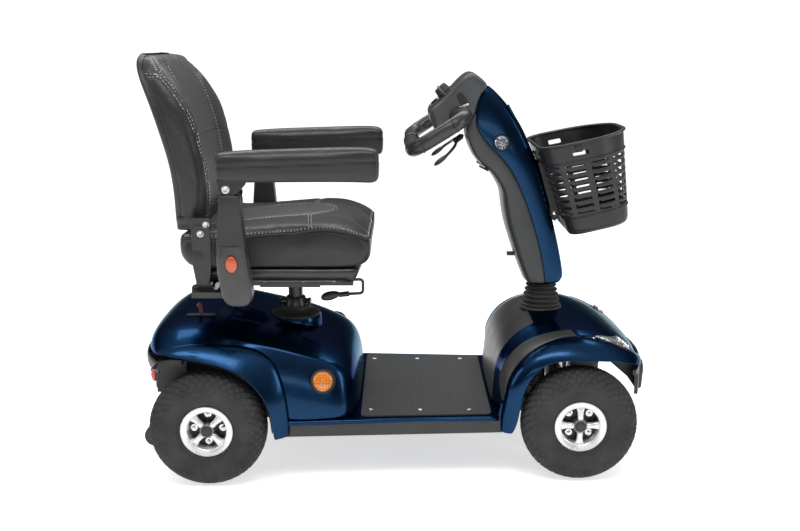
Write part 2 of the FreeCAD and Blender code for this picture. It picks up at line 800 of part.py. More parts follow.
TILLER_FRONT = [(220, 884), (264, 842), (290, 799), (315, 752), (334, 709), (348, 669), (366, 609),
                (386, 536), (409, 434), (398, 416)]
TILLER_SPLIT = [(200, 872), (186, 838), (189, 793), (207, 766), (231, 739), (258, 712), (278, 685),
                (294, 654), (314, 607), (331, 559), (345, 511), (356, 463), (362, 414)]
TILLER_REAR = [(168, 792), (168, 772), (190, 716), (220, 693), (243, 661), (256, 633), (257, 600),
               (268, 552), (289, 494), (311, 430), (322, 412)]
HEAD_SIDE = [(178, 917), (150, 898), (134, 879), (106, 849), (80, 829), (92, 790), (119, 782),
             (150, 806), (168, 812), (186, 812), (187, 838), (200, 871), (219, 885)]


LATCH_X, LATCH_Z = 308, 480


def hollow_tiller():
    """The whole tiller casing as one hollow column, before it is split in two."""
    half, wall = 62.0, float(S["wall"])
    side = TILLER_FRONT + list(reversed(TILLER_REAR)) + [(186, 812), (187, 838), (200, 871)]
    solid = prism(side, "y", -half, half)
    face = Part.Face(Part.makePolygon([V(a, 0, b) for a, b in side + side[:1]]))
    inset = face.makeOffset2D(-wall)
    core = inset.extrude(V(0, 2 * (half - wall), 0))
    core.translate(V(0, -(half - wall), 0))
    return solid.cut(core)


def throttle_axis():
    """The centre of the throttle's hub and the direction of its spindle into the tiller."""
    return V(164, 0, 768), V(22, 0, 17).normalize()


def tiller_covers():
    hub, inward = throttle_axis()
    foot_opening = Part.makeBox(90, 84, 60, V(320, -42, 395))
    latch_slot = Part.makeBox(22, 19, 22, V(284, -9.5, 470))
    spindle_hole = Part.makeCylinder(4 + float(S["running_gap"]), 60, hub - inward * 20, inward)
    shell = hollow_tiller().cut([foot_opening, latch_slot, spindle_hole])
    behind = prism(TILLER_SPLIT + [(100, 414), (100, 872)], "y", -200, 200)
    rear = max(shell.common(behind).Solids, key=lambda solid: solid.Volume)
    front = max(shell.cut(behind).Solids, key=lambda solid: solid.Volume)
    node("tiller_front_cover", shaped("tiller_front_cover", front))
    return node("tiller_rear_cover", shaped("tiller_rear_cover", rear))


def tiller_tube():
    """Steel column with the hinge lug and pin at its foot, and the ears of the tilt latch."""
    low, high = V(360, 0, 410), V(236, 0, 800)
    lug = block((S["steering_x"] - 11, -13.5, S["tilt_height"] - 11), (S["steering_x"] + 11, 13.5, 418))
    pin = rod(8, (S["steering_x"], -23, S["tilt_height"]), 46, "y")
    column = shaped("Column", bar(13, low, high))
    crown = block((200, -40, 795), (240, 40, 812))
    ears = [block((302, y, 474), (336, y + 4, 486)) for y in (9, -13)]
    latch_hole = rod(4 + S["running_gap"], (LATCH_X, -20, LATCH_Z), 40, "y")
    return node("tiller_tube", cut(fuse(lug, pin, column, crown, *ears), latch_hole))


def tiller_head():
    """Console that carries the dash, the knob and the handlebar."""
    body = new_body("Console")
    sketch = new_sketch(body, "XZ")
    outline(sketch, HEAD_SIDE)
    pad(body, sketch, 150, symmetric=True)
    round_edges(body, 8, lambda edge: abs(edge.tangentAt(edge.FirstParameter).y) < 0.1 and edge.Length > 22)
    normal, up = head_direction()
    gap = float(S["running_gap"])
    wells = [
        Part.makeCylinder(4 + gap, 20, knob_seat() - normal * 8, normal),
        Part.makeCylinder(9.3, 20, dash_spot(34, 8) - normal * 5, normal),
        Part.makeCylinder(3 + gap, 20, dash_spot(-42, 38) - normal * 8, normal),
    ]
    return node("tiller_head", cut(body, shaped("Wells", Part.makeCompound(wells))))


def loop_point(along, y):
    """A point of the handlebar's plane, which rises towards the front."""
    angle = math.radians(32)
    return V(42 + along * math.cos(angle), y, 753 + along * math.sin(angle))


def handlebar():
    radius = float(S["loop_tube_radius"])
    right = [loop_point(118, -60), loop_point(138, -150), loop_point(128, -222), loop_point(0, -218)]
    left = [V(p.x, -p.y, p.z) for p in reversed(right)]
    shape = bent_tube(right + left, radius, 46)
    DOC.recompute()
    head = [item for item in NODES if item.Label == "tiller_head"][0].Shape
    pieces = shape.cut(head)
    return node("handlebar", shaped("handlebar", max(pieces.Solids, key=lambda solid: solid.Volume)))


def head_direction():
    """Outward normal of the dash, and the direction up along it."""
    up = V(134 - 80, 0, 879 - 829).normalize()
    return V(-up.z, 0, up.x), up


def dash_spot(y, distance):
    """A point of the dash at a distance up from its lower end."""
    normal, up = head_direction()
    return V(90, y, 838.3) + up * distance


def knob_seat():
    return V(120, 0, 865.1) + head_direction()[0] * 0.6


def speed_knob():
    """Speed dial with its spindle."""
    normal, up = head_direction()
    dial = Part.makeCylinder(17, 20, knob_seat(), normal)
    spindle = Part.makeCylinder(4, 17, knob_seat() - normal * 7, normal)
    return node("speed_knob", shaped("speed_knob", one_solid(dial.fuse(spindle))))


def horn_button():
    """Push button that runs in a well of the dash."""
    normal, up = head_direction()
    return node("horn_button", shaped("horn_button", Part.makeCylinder(9, 6, dash_spot(34, 8) - normal * 2.5, normal)))


def ignition_key():
    normal, up = head_direction()
    seat = dash_spot(-42, 38)
    stem = Part.makeCylinder(3, 17, seat - normal * 7, normal)
    grip = Part.makeBox(3, 20, 18, V(-1.5, -10, 0))
    grip.rotate(V(0, 0, 0), V(0, 1, 0), math.degrees(math.atan2(normal.x, normal.z)))
    grip.translate(seat + normal * 9)
    return node("ignition_key", shaped("ignition_key", one_solid(stem.fuse(grip))))


def throttle_lever():
    """One rocking lever with a paddle under each hand, on a spindle into the tiller."""
    hub, inward = throttle_axis()
    shape = Part.makeCylinder(7, 24, hub - inward * 28, inward)
    shape = shape.fuse(Part.makeCylinder(4, 42, hub - inward * 10, inward))
    for side in (1, -1):
        elbow = V(148, 40 * side, 752)
        root = hub + V(-14, 0, -11)
        blade = V(112, 104 * side, 722)
        shape = shape.fuse([bar(3.5, root, elbow), Part.makeSphere(3.5, elbow), bar(3.5, elbow, blade)])
        shape = shape.fuse(rounded_block(36, 24, 10, 4, blade + V(-8, 0, -6), -37))
    return node("throttle_lever", shaped("throttle_lever", one_solid(shape)))


def tiller_lamps():
    """Round indicator lenses on both sides of the tiller."""
    lamps = [rod(14, (250, 62.1, 755), 5, "y"), rod(14, (250, -67.1, 755), 5, "y")]
    return node("tiller_lamps", group(*lamps))


def tilt_lever():
    """Small latch on the rear of the tiller that frees its tilt."""
    axle = rod(4, (LATCH_X, -13, LATCH_Z), 26, "y")
    blade = block((274, -8.5, LATCH_Z - 4), (LATCH_X + 3, 8.5, LATCH_Z + 3.5))
    return node("tilt_lever", fuse(axle, blade))


def basket_wire(rear, front, half, corner):
    """A rounded rectangle across the scooter between two points of a tilted plane."""
    along = (front - rear).normalize()
    length = (front - rear).Length
    across = V(0, 1, 0)
    spots = [(0, -half), (length, -half), (length, half), (0, half)]
    edges = []
    ends = []
    for step, (a, b) in enumerate(spots):
        before = spots[step - 1]
        after = spots[(step + 1) % 4]
        unit = [(q[0] - a, q[1] - b) for q in (before, after)]
        unit = [(u[0] / math.hypot(*u), u[1] / math.hypot(*u)) for u in unit]
        start, stop = [rear + along * (a + corner * u[0]) + across * (b + corner * u[1]) for u in unit]
        diagonal = (unit[0][0] + unit[1][0], unit[0][1] + unit[1][1])
        pull = corner * (1 - math.sqrt(0.5))
        middle = rear + along * (a + pull * diagonal[0]) + across * (b + pull * diagonal[1])
        ends.append((start, middle, stop))
    for step, (start, middle, stop) in enumerate(ends):
        edges.append(Part.Arc(start, middle, stop).toShape())
        edges.append(Part.LineSegment(stop, ends[(step + 1) % 4][0]).toShape())
    return Part.Wire(edges)


def basket():
    wall = float(S["wall"])
    low_rear, low_front = V(412, 0, 547), V(531, 0, 576)
    rim_rear, rim_front = V(331, 0, 748), V(530, 0, 788)
    outer = Part.makeLoft([basket_wire(low_rear, low_front, 118, 30), basket_wire(rim_rear, rim_front, 150, 45)], True)
    lift = V(-wall * 0.25, 0, wall)
    step = V(wall, 0, wall * 0.22)
    inner = Part.makeLoft([
        basket_wire(low_rear + lift + step, low_front + lift - step, 118 - wall, 30 - wall),
        basket_wire(rim_rear + lift + step, rim_front + lift - step, 150 - wall, 45 - wall)], True)
    return node("basket", shaped("basket", one_solid(outer.cut(inner))))


def basket_bracket():
    """Two upright hooks that hang the basket on the front of the tiller."""
    strips = []
    for side in (1, -1):
        y = 30 * side
        side_view = [(338.5, 706), (347.8, 706), (394.5, 590), (388.5, 590), (376, 582), (368, 609), (349.7, 669)]
        strips.append(prism(side_view, "y", *sorted((y - 8, y + 8))))
    tie = prism([(371, 640), (381, 610), (379, 609), (369, 639)], "y", -30, 30)
    shape = strips[0].fuse([strips[1], tie])
    return node("basket_bracket", shaped("basket_bracket", one_solid(shape)))


# ---- Seat --------------------------------------------------------------------------------

def seat_post():
    x = S["seat_axis_x"]
    tube = rod(S["seat_post_radius"], (x, 0, 141), S["swivel_height"] - 141, "z")
    flange = rod(48, (x, 0, S["swivel_height"] - 6), 6, "z")
    bore = rod(12 + S["running_gap"], (x, 0, 380), 60, "z")
    return node("seat_post", cut(fuse(tube, flange), bore))


def seat_post_boot():
    """Rubber disc that closes the hole around the post."""
    body = new_body("seat_post_boot")
    sketch = new_sketch(body, "XZ")
    bore = S["seat_post_radius"] + 0.3
    outline(sketch, [(bore, 320), (60, 327), (60, 331), (40, 338), (26, 341), (26, 350), (bore, 350)])
    revolve(body, sketch, "V_Axis")
    return node("seat_post_boot", put(body, S["seat_axis_x"], 0, 0))


def swivel_plate():
    x, low = S["seat_axis_x"], S["swivel_height"] + 0.3
    plate = block((x - 70, -120, low), (x + 70, 120, low + 5))
    pivot = rod(12, (x, 0, 385), low - 384, "z")
    rails = []
    for side in (1, -1):
        near = 104 if side > 0 else -124
        rails.append(block((-358, near, low + 5), (-95, near + 20, low + 13)))
    release_hole = rod(4 + S["running_gap"], (-196, 86, low - 5), 30, "z")
    return node("swivel_plate", cut(fuse(plate, pivot, *rails), release_hole))


def swivel_lever():
    """Release of the swivel lock, under the left of the plate."""
    low = S["swivel_height"] - 6
    hub = rod(9, (-196, 86, low), 6, "z")
    pin = rod(4, (-196, 86, low), 11, "z")
    stem = block((-200, 86, low + 1), (-192, 150, low + 5))
    grip = block((-206, 146, low - 2), (-186, 196, low + 6))
    return node("swivel_lever", fuse(hub, pin, stem, grip))


SLIDE_PIVOT = (-128.0, -138.0, 446.0)


def slide_lever():
    """Wire loop at the front of the right rail, with a paddle for the hand."""
    x, y, z = SLIDE_PIVOT
    corners = [V(x, y, z), V(-72, y, 448), V(-72, y, 415), V(-112, y, 413)]
    wire = bent_tube(corners, 3.5, 8)
    hub = Part.makeCylinder(6, 12, V(x, y - 4.5, z), V(0, 1, 0))
    pin = Part.makeCylinder(3, 24, V(x, y - 2, z), V(0, 1, 0))
    sleeve = bar(6, V(-104, y, 413.4), V(-126, y, 412))
    paddle = rounded_block(46, 18, 17, 7, V(-146, y, 405), -12)
    return node("slide_lever", shaped("slide_lever", one_solid(wire.fuse([hub, pin, sleeve, paddle]))))


def seat_pan():
    """Seat base: upper rails, pan and the hinge brackets of the backrest."""
    low = S["swivel_height"] + 13.6
    rails = []
    for side in (1, -1):
        near = 100 if side > 0 else -128
        rails.append(block((-400, near, low), (-120, near + 28, S["rail_top"])))
        web = 96 if side > 0 else -130
        rails.append(block((-400, web, low + 6), (-120, web + 34, S["rail_top"])))
    pan = block((-436, -212, S["rail_top"]), (-75, 212, S["rail_top"] + 12))
    tray_rim = cut(block((-436, -212, S["rail_top"]), (-75, 212, S["pan_top"] - 3)),
                   block((-430, -206, S["rail_top"] + 10), (-81, 206, S["pan_top"] + 10)))
    brackets = []
    for side in (1, -1):
        near = 228 if side > 0 else -232
        brackets.append(block((-445, near, 456), (-400, near + 4, 590)))
        tab = 205 if side > 0 else -232
        brackets.append(block((-436, tab, 452), (-400, tab + 27, 464)))
    arm_tube = block((-448, -228, 430), (-402, 228, S["rail_top"]))
    arm_bore = block((-444, -240, 434), (-406, 240, 447.5))
    holes = rod(6 + S["running_gap"], (S["recline_x"], -250, S["recline_z"]), 500, "y")
    lever_hole = rod(3 + S["running_gap"], SLIDE_PIVOT, 30, "y")
    lever_slot = block((-126, -144, S["rail_top"]), (-70, -132, S["rail_top"] + 14))
    whole = fuse(*rails, pan, tray_rim, *brackets, arm_tube)
    return node("seat_pan", cut(whole, arm_bore, holes, lever_hole, lever_slot))


def seat_cushion():
    """Plain solid of the cushion: thick, crowned, with a rolled front."""
    wires = []
    for x, half, low, high in ((-464, 150, 520, 548), (-456, 182, 504, 556), (-438, 202, 491, 561),
                               (-405, 212, 488, 566), (-370, 218, 488, 575), (-320, 222, 488, 582),
                               (-230, 224, 488, 585), (-140, 224, 488, 583), (-85, 222, 488, 576),
                               (-55, 214, 490, 562), (-43, 190, 502, 544)):
        centre = V(x, 0, (low + high) / 2)
        wires.append(oval_wire(centre, V(0, 1, 0), V(0, 0, 1), half, (high - low) / 2, 4.5))
    return node("seat_cushion", shaped("seat_cushion", Part.makeLoft(wires, True)))


BACK_STATIONS = [
    # height, rear face, front face, half width
    (572, -484, -428, 190), (600, -480, -425, 206), (640, -478, -424, 216), (710, -484, -424, 222),
    (760, -496, -430, 224), (820, -514, -444, 222), (870, -532, -462, 214), (910, -548, -482, 196),
    (940, -562, -502, 165), (958, -570, -524, 118),
]


def back_loft(stations, power):
    wires = []
    for height, rear, front, half in stations:
        centre = V((rear + front) / 2, 0, height)
        wires.append(oval_wire(centre, V(0, 1, 0), V(1, 0, 0), half, (front - rear) / 2, power))
    return Part.makeLoft(wires, True)


def backrest_shell():
    """Rear panel of the backrest with the two hinge ears."""
    panel = back_loft([(z, rear, rear + 16, half) for z, rear, front, half in BACK_STATIONS], 6)
    ears = []
    for side in (1, -1):
        near = 223 if side > 0 else -227
        ear = Part.makeBox(20, 4, 110, V(-444, near, 562))
        link = Part.makeBox(40, 20, 22, V(-476, 206.5 if side > 0 else -226.5, 650))
        low, high = sorted((near, near + 4))
        pin = Part.makeCylinder(6, 8.5, V(float(S["recline_x"]), 223.3 * side, float(S["recline_z"])), V(0, side, 0))
        lobe = Part.makeCylinder(14, 4, V(float(S["recline_x"]), near, float(S["recline_z"])), V(0, 1, 0))
        ears += [ear, link, pin, lobe]
    shape = panel.fuse(ears).removeSplitter()
    return node("backrest_shell", shaped("backrest_shell", one_solid(shape)))


def backrest_cushion():
    padding = back_loft([(z, rear + 16.5, front, half) for z, rear, front, half in BACK_STATIONS], 5)
    shell = [item for item in NODES if item.Label == "backrest_shell"][0].Shape
    pieces = padding.cut(shell)
    return node("backrest_cushion", shaped("backrest_cushion", max(pieces.Solids, key=lambda s: s.Volume)))


def arm_post(label, side):
    """Upright of an armrest, with the bar that slides in the seat's cross tube."""
    outer, inner = S["arm_outer_y"] * side, S["arm_inner_y"] * side
    low_y, high_y = (inner, outer) if side > 0 else (outer, inner)
    body = new_body("Upright")
    sketch = new_sketch(body, "XZ")
    outline(sketch, [(-350, 425), (-327, 425), (-309, 436), (-306, 447), (-321, 571), (-330, 660),
                     (-370, 660), (-377, 571), (-379, 523), (-371, 447), (-363, 432)])
    pad(body, sketch, S["arm_outer_y"] - S["arm_inner_y"], symmetric=True)
    middle = (S["arm_outer_y"] + S["arm_inner_y"]) * 0.5 * side
    put(body, 0, middle, 0)
    bar_low, bar_high = (140, S["arm_inner_y"] + 2) if side > 0 else (-S["arm_inner_y"] - 2, -140)
    sliding_bar = block((-443.7, bar_low, 434.3), (-406.3, bar_high, 447.2))
    foot_low, foot_high = (232.5, S["arm_inner_y"] + 4) if side > 0 else (-S["arm_inner_y"] - 4, -232.5)
    foot = block((-443.7, foot_low, 434.3), (-366, foot_high, 447.2))
    ear_low = 262 if side > 0 else -285
    ears = block((S["arm_pivot_x"] - 13, ear_low, 655), (S["arm_pivot_x"] + 13, ear_low + 23, S["arm_pivot_z"] + 12))
    slot_low = 268.7 if side > 0 else -278.3
    slot = block((S["arm_pivot_x"] - 20, slot_low, 660.5), (S["arm_pivot_x"] + 20, slot_low + 9.6, 700))
    hole = rod(4 + S["running_gap"], (S["arm_pivot_x"], ear_low - 5, S["arm_pivot_z"]), 40, "y")
    return node("arm_post_" + label, cut(fuse(body, sliding_bar, foot, ears), slot, hole))


def armrest(label, side):
    """Padded armrest on a steel tongue that turns on the upright's pin."""
    centre = 264.5 * side
    side_view = [(-375, 0, 697), (-373, 0, 756), (-29, 0, 767), (-31, 0, 705), (-60, 0, 697)]
    corners = [V(x, centre - 27.5, z) for x, y, z in side_view]
    padding = Part.Face(Part.makePolygon(corners + corners[:1])).extrude(V(0, 55, 0))
    padding = padding.makeFillet(9, padding.Edges)
    pivot = V(float(S["arm_pivot_x"]), 273.5 * side, float(S["arm_pivot_z"]))
    start = pivot + V(0, -4.5, 0)
    tongue = Part.makeCylinder(9, 9, start, V(0, 1, 0))
    web = Part.makeBox(18, 9, 26, start + V(-9, 0, 0))
    pin = Part.makeCylinder(4, 22, pivot + V(0, -11, 0), V(0, 1, 0))
    shape = padding.fuse([tongue, web, pin])
    return node("armrest_" + label, shaped("armrest_" + label, one_solid(shape)))


def freewheel_lever():
    """Red-tipped lever that frees the motor from the wheels."""
    foot, tip = V(-445, -120, 322), V(-456, -120, 381)
    hub = Part.makeCylinder(7, 10, V(-445, -125, 320), V(0, 1, 0))
    pin = Part.makeCylinder(4, 21, V(-445, -125, 320), V(0, 1, 0))
    shape = hub.fuse([pin, bar(4.5, foot, tip), Part.makeSphere(6.5, tip)])
    return node("freewheel_lever", shaped("freewheel_lever", one_solid(shape)))


# ---- Assembly ----------------------------------------------------------------------------

def build():
    wheels()
    anti_tip_wheels()
    chassis_frame()
    transaxle()
    batteries()
    controller()
    floor_pan()
    floor_mat()
    mat_screws()
    sill_trims()
    rear_cover()
    rear_bumper()
    tail_lights()
    side_reflectors()
    front_cover()
    front_bumper()
    steering_stem()
    tiller_bellows()
    tie_rod("tie_rod_left", 1)
    tie_rod("tie_rod_right", -1)
    knuckle(1)
    knuckle(-1)
    tiller_covers()
    tiller_tube()
    tiller_head()
    handlebar()
    speed_knob()
    horn_button()
    ignition_key()
    throttle_lever()
    tiller_lamps()
    tilt_lever()
    basket()
    basket_bracket()
    seat_post()
    seat_post_boot()
    swivel_plate()
    swivel_lever()
    slide_lever()
    seat_pan()
    seat_cushion()
    backrest_shell()
    backrest_cushion()
    for label, side in (("left", 1), ("right", -1)):
        arm_post(label, side)
        armrest(label, side)
    freewheel_lever()
    DOC.recompute()


def check_and_write():
    problems = []
    for item in DOC.Objects:
        if "Invalid" in item.State or "Error" in item.State:
            problems.append("%s (%s) is %s" % (item.Label, item.TypeId, item.State))
    for item in NODES:
        if item.Shape.isNull() or not item.Shape.isValid() or not item.Shape.Solids:
            problems.append("%s has no valid solid" % item.Label)
    if problems:
        raise RuntimeError("; ".join(problems))
    os.makedirs("parts", exist_ok=True)
    for item in NODES:
        item.Shape.exportStep("parts/%s.step" % item.Label)
    print("wrote %d parts" % len(NODES))


build()
check_and_write()
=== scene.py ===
import bmesh
import bpy
import math
from mathutils import Matrix, Vector
from mathutils.bvhtree import BVHTree
from mathutils.kdtree import KDTree


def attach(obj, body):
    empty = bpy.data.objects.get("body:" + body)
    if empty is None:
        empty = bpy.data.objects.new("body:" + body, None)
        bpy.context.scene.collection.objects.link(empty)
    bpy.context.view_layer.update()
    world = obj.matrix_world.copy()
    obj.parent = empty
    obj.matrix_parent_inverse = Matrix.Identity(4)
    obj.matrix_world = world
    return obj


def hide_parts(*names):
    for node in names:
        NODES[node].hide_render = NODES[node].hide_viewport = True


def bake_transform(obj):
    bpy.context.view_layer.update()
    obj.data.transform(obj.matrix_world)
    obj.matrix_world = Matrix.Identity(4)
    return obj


# A mobility scooter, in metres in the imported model's frame: +X to the front, +Y to the rider's
# left, +Z up. Lengths in this script are written in millimetres and scaled on the way in.

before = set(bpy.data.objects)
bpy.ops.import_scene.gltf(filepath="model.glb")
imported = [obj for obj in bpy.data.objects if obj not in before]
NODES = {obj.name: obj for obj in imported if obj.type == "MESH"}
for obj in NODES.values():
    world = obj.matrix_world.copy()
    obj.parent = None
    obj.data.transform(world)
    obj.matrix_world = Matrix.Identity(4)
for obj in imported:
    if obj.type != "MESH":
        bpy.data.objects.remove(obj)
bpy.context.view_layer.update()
MM = 0.001
SIDES = ((1, "left"), (-1, "right"))
SEAT_X = -243            # the seat post's axis
CAMERA_PLACE = (0.0137, -2.367, 0.987)
CAMERA_PITCH = 12.8      # degrees below level
CAMERA_LENS = 44.64      # on a 36 mm sensor


# ---- Camera ------------------------------------------------------------------------------

def make_camera():
    data = bpy.data.cameras.new("camera")
    data.sensor_width = 36
    data.lens = CAMERA_LENS
    data.clip_start = 0.05
    camera = bpy.data.objects.new("camera", data)
    camera.location = CAMERA_PLACE
    camera.rotation_euler = (math.radians(90 - CAMERA_PITCH), 0, 0)
    bpy.context.scene.collection.objects.link(camera)
    bpy.context.scene.camera = camera


make_camera()


# ---- Mesh tools --------------------------------------------------------------------------

def mm(x, y, z):
    return Vector((x * MM, y * MM, z * MM))


def mesh_piece(name, verts, faces, material, smooth=True):
    """A new object from points in millimetres."""
    mesh = bpy.data.meshes.new(name)
    mesh.from_pydata([mm(*v) for v in verts], [], faces)
    mesh.validate()
    piece = bpy.data.objects.new(name, mesh)
    bpy.context.scene.collection.objects.link(piece)
    piece.data.materials.append(material)
    for face in mesh.polygons:
        face.use_smooth = smooth
    work = bmesh.new()
    work.from_mesh(mesh)
    bmesh.ops.recalc_face_normals(work, faces=work.faces)
    work.to_mesh(mesh)
    work.free()
    return piece


def add_modifier(piece, kind, **settings):
    modifier = piece.modifiers.new(kind.lower(), kind)
    for key, value in settings.items():
        setattr(modifier, key, value)
    return modifier


def subdivide(piece, levels=2):
    return add_modifier(piece, "SUBSURF", levels=levels, render_levels=levels)


def thicken(piece, wall, offset=-1.0):
    return add_modifier(piece, "SOLIDIFY", thickness=wall * MM, offset=offset)


def soften(piece, width, segments=3, angle=35):
    return add_modifier(piece, "BEVEL", width=width * MM, segments=segments, limit_method="ANGLE",
                        angle_limit=math.radians(angle), harden_normals=False)


def shade_sharp(piece, angle=35):
    """Smooth shading with the edges over an angle kept sharp."""
    for face in piece.data.polygons:
        face.use_smooth = True
    work = bmesh.new()
    work.from_mesh(piece.data)
    for edge in work.edges:
        if len(edge.link_faces) == 2 and edge.calc_face_angle(0) > math.radians(angle):
            edge.smooth = False
    work.to_mesh(piece.data)
    work.free()
    return piece


def bake_modifiers(piece):
    """Applies the modifiers of a piece to its mesh."""
    graph = bpy.context.evaluated_depsgraph_get()
    mesh = bpy.data.meshes.new_from_object(piece.evaluated_get(graph))
    piece.modifiers.clear()
    piece.data = mesh
    return piece


def merge(name, pieces):
    """One object from several, each baked, with their materials kept."""
    bpy.context.view_layer.update()
    for piece in pieces:
        bake_modifiers(piece)
    bpy.context.view_layer.update()
    target = pieces[0]
    with bpy.context.temp_override(active_object=target, selected_editable_objects=pieces,
                                   selected_objects=pieces, object=target):
        bpy.ops.object.join()
    target.name = name
    target.data.name = name
    return target


def strip_faces(rows, columns, closed_rows=False, closed_columns=False, first=0):
    """Quads over a grid of points given row after row."""
    faces = []
    for row in range(rows - (0 if closed_rows else 1)):
        for col in range(columns - (0 if closed_columns else 1)):
            a = first + row * columns + col
            b = first + row * columns + (col + 1) % columns
            c = first + ((row + 1) % rows) * columns + (col + 1) % columns
            d = first + ((row + 1) % rows) * columns + col
            faces.append((a, b, c, d))
    return faces


def grid_piece(name, rows, material, closed_rows=False, closed_columns=False, caps=False):
    """A surface over rows of points; caps close the first and the last row."""
    columns = len(rows[0])
    verts = [point for row in rows for point in row]
    faces = strip_faces(len(rows), columns, closed_rows, closed_columns)
    if caps:
        faces.append(tuple(range(columns)))
        faces.append(tuple(len(verts) - 1 - step for step in range(columns)))
    return mesh_piece(name, verts, faces, material)


def spline(points, steps, closed=False):
    """Points along a smooth curve through the given ones."""
    knots = [Vector(p) for p in points]
    count = len(knots)
    out = []
    for span in range(count if closed else count - 1):
        if closed:
            p0, p1, p2, p3 = [knots[(span + shift) % count] for shift in (-1, 0, 1, 2)]
        else:
            p0, p1 = knots[max(span - 1, 0)], knots[span]
            p2, p3 = knots[span + 1], knots[min(span + 2, count - 1)]
        for step in range(steps):
            t = step / steps
            out.append(0.5 * ((2 * p1) + (p2 - p0) * t + (2 * p0 - 5 * p1 + 4 * p2 - p3) * t * t
                              + (3 * p1 - p0 - 3 * p2 + p3) * t ** 3))
    if not closed:
        out.append(knots[-1])
    return out


def tube_rows(path, radius, around=16, closed=False, squash=None):
    """Rings of a round tube along a path; radius may be a list."""
    rows = []
    count = len(path)
    normal = None
    for step, point in enumerate(path):
        if closed:
            ahead, behind = path[(step + 1) % count], path[step - 1]
        else:
            ahead, behind = path[min(step + 1, count - 1)], path[max(step - 1, 0)]
        tangent = (ahead - behind).normalized()
        if normal is None:
            guide = Vector((0, 0, 1)) if abs(tangent.z) < 0.9 else Vector((1, 0, 0))
            normal = (guide - tangent * guide.dot(tangent)).normalized()
        else:
            normal = (normal - tangent * normal.dot(tangent)).normalized()
        side = tangent.cross(normal)
        size = radius[step] if isinstance(radius, (list, tuple)) else radius
        flat = squash or 1.0
        ring = []
        for turn in range(around):
            angle = 2 * math.pi * turn / around
            ring.append(point + normal * (math.cos(angle) * size) + side * (math.sin(angle) * size * flat))
        rows.append([tuple(v) for v in ring])
    return rows


def tube_piece(name, points, radius, material, steps=6, around=16, closed=False, squash=None, smooth_path=True):
    path = spline(points, steps, closed) if smooth_path else [Vector(p) for p in points]
    rows = tube_rows(path, radius, around, closed, squash)
    return grid_piece(name, rows, material, closed_rows=closed, closed_columns=True, caps=not closed)


def lathe_rows(profile, centre, axis, segments):
    """Rings about an axis through a centre from (distance along the axis, radius) pairs."""
    axis = Vector(axis).normalized()
    guide = Vector((0, 0, 1)) if abs(axis.z) < 0.9 else Vector((1, 0, 0))
    u = (guide - axis * guide.dot(axis)).normalized()
    v = axis.cross(u)
    rows = []
    for along, radius in profile:
        middle = Vector(centre) + axis * along
        rows.append([tuple(middle + (u * math.cos(2 * math.pi * s / segments)
                                     + v * math.sin(2 * math.pi * s / segments)) * radius)
                     for s in range(segments)])
    return rows


def lathe_piece(name, profile, centre, axis, material, segments=48, closed=False, caps=True):
    rows = lathe_rows(profile, centre, axis, segments)
    piece = grid_piece(name, rows, material, closed_rows=closed, closed_columns=True, caps=caps and not closed)
    return shade_sharp(piece, 40)


def slab(name, outline, low, high, axis, material, bevel=0.0, segments=3):
    """A flat outline given depth along one axis, with softened edges."""
    place = {
        "x": lambda a, b, d: (d, a, b),
        "y": lambda a, b, d: (a, d, b),
        "z": lambda a, b, d: (a, b, d),
    }[axis]
    count = len(outline)
    verts = [place(a, b, low) for a, b in outline] + [place(a, b, high) for a, b in outline]
    faces = [tuple(range(count)), tuple(range(2 * count - 1, count - 1, -1))]
    faces += [(i, (i + 1) % count, count + (i + 1) % count, count + i) for i in range(count)]
    piece = mesh_piece(name, verts, faces, material, smooth=False)
    if bevel:
        soften(piece, bevel, segments)
    shade_sharp(piece)
    return piece


def smooth_outline(points, steps=5):
    """A closed outline rounded through its points, as plain pairs."""
    return [(p.x, p.y) for p in spline([(a, b, 0) for a, b in points], steps, closed=True)]


def mirror_points(points):
    """The same points on the scooter's other side."""
    return [(x, -y, z) for x, y, z in points]


def closed_section(half_ring):
    """A whole ring from one half that runs from the centre line back to it."""
    return half_ring + mirror_points(list(reversed(half_ring))[1:-1])


def facing_frame(normal):
    """Two directions that span the plane across a normal."""
    normal = Vector(normal).normalized()
    guide = Vector((0, 0, 1)) if abs(normal.z) < 0.9 else Vector((0, 1, 0))
    u = guide.cross(normal).normalized()
    return u, normal.cross(u), normal


def finish_piece(piece, body, replaces=()):
    """Rides a piece on its body and hides the nodes it stands for."""
    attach(piece, body)
    if replaces:
        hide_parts(*replaces)
    return piece


# ---- Materials ---------------------------------------------------------------------------

def fill_ramp(item, stops):
    """Gives a colour ramp its (position, colour) stops."""
    elements = item.color_ramp.elements
    for element, (position, colour) in zip(elements, (stops[0], stops[-1])):
        element.position = position
        element.color = (*colour, 1)
    for position, colour in stops[1:-1]:
        elements.new(position).color = (*colour, 1)


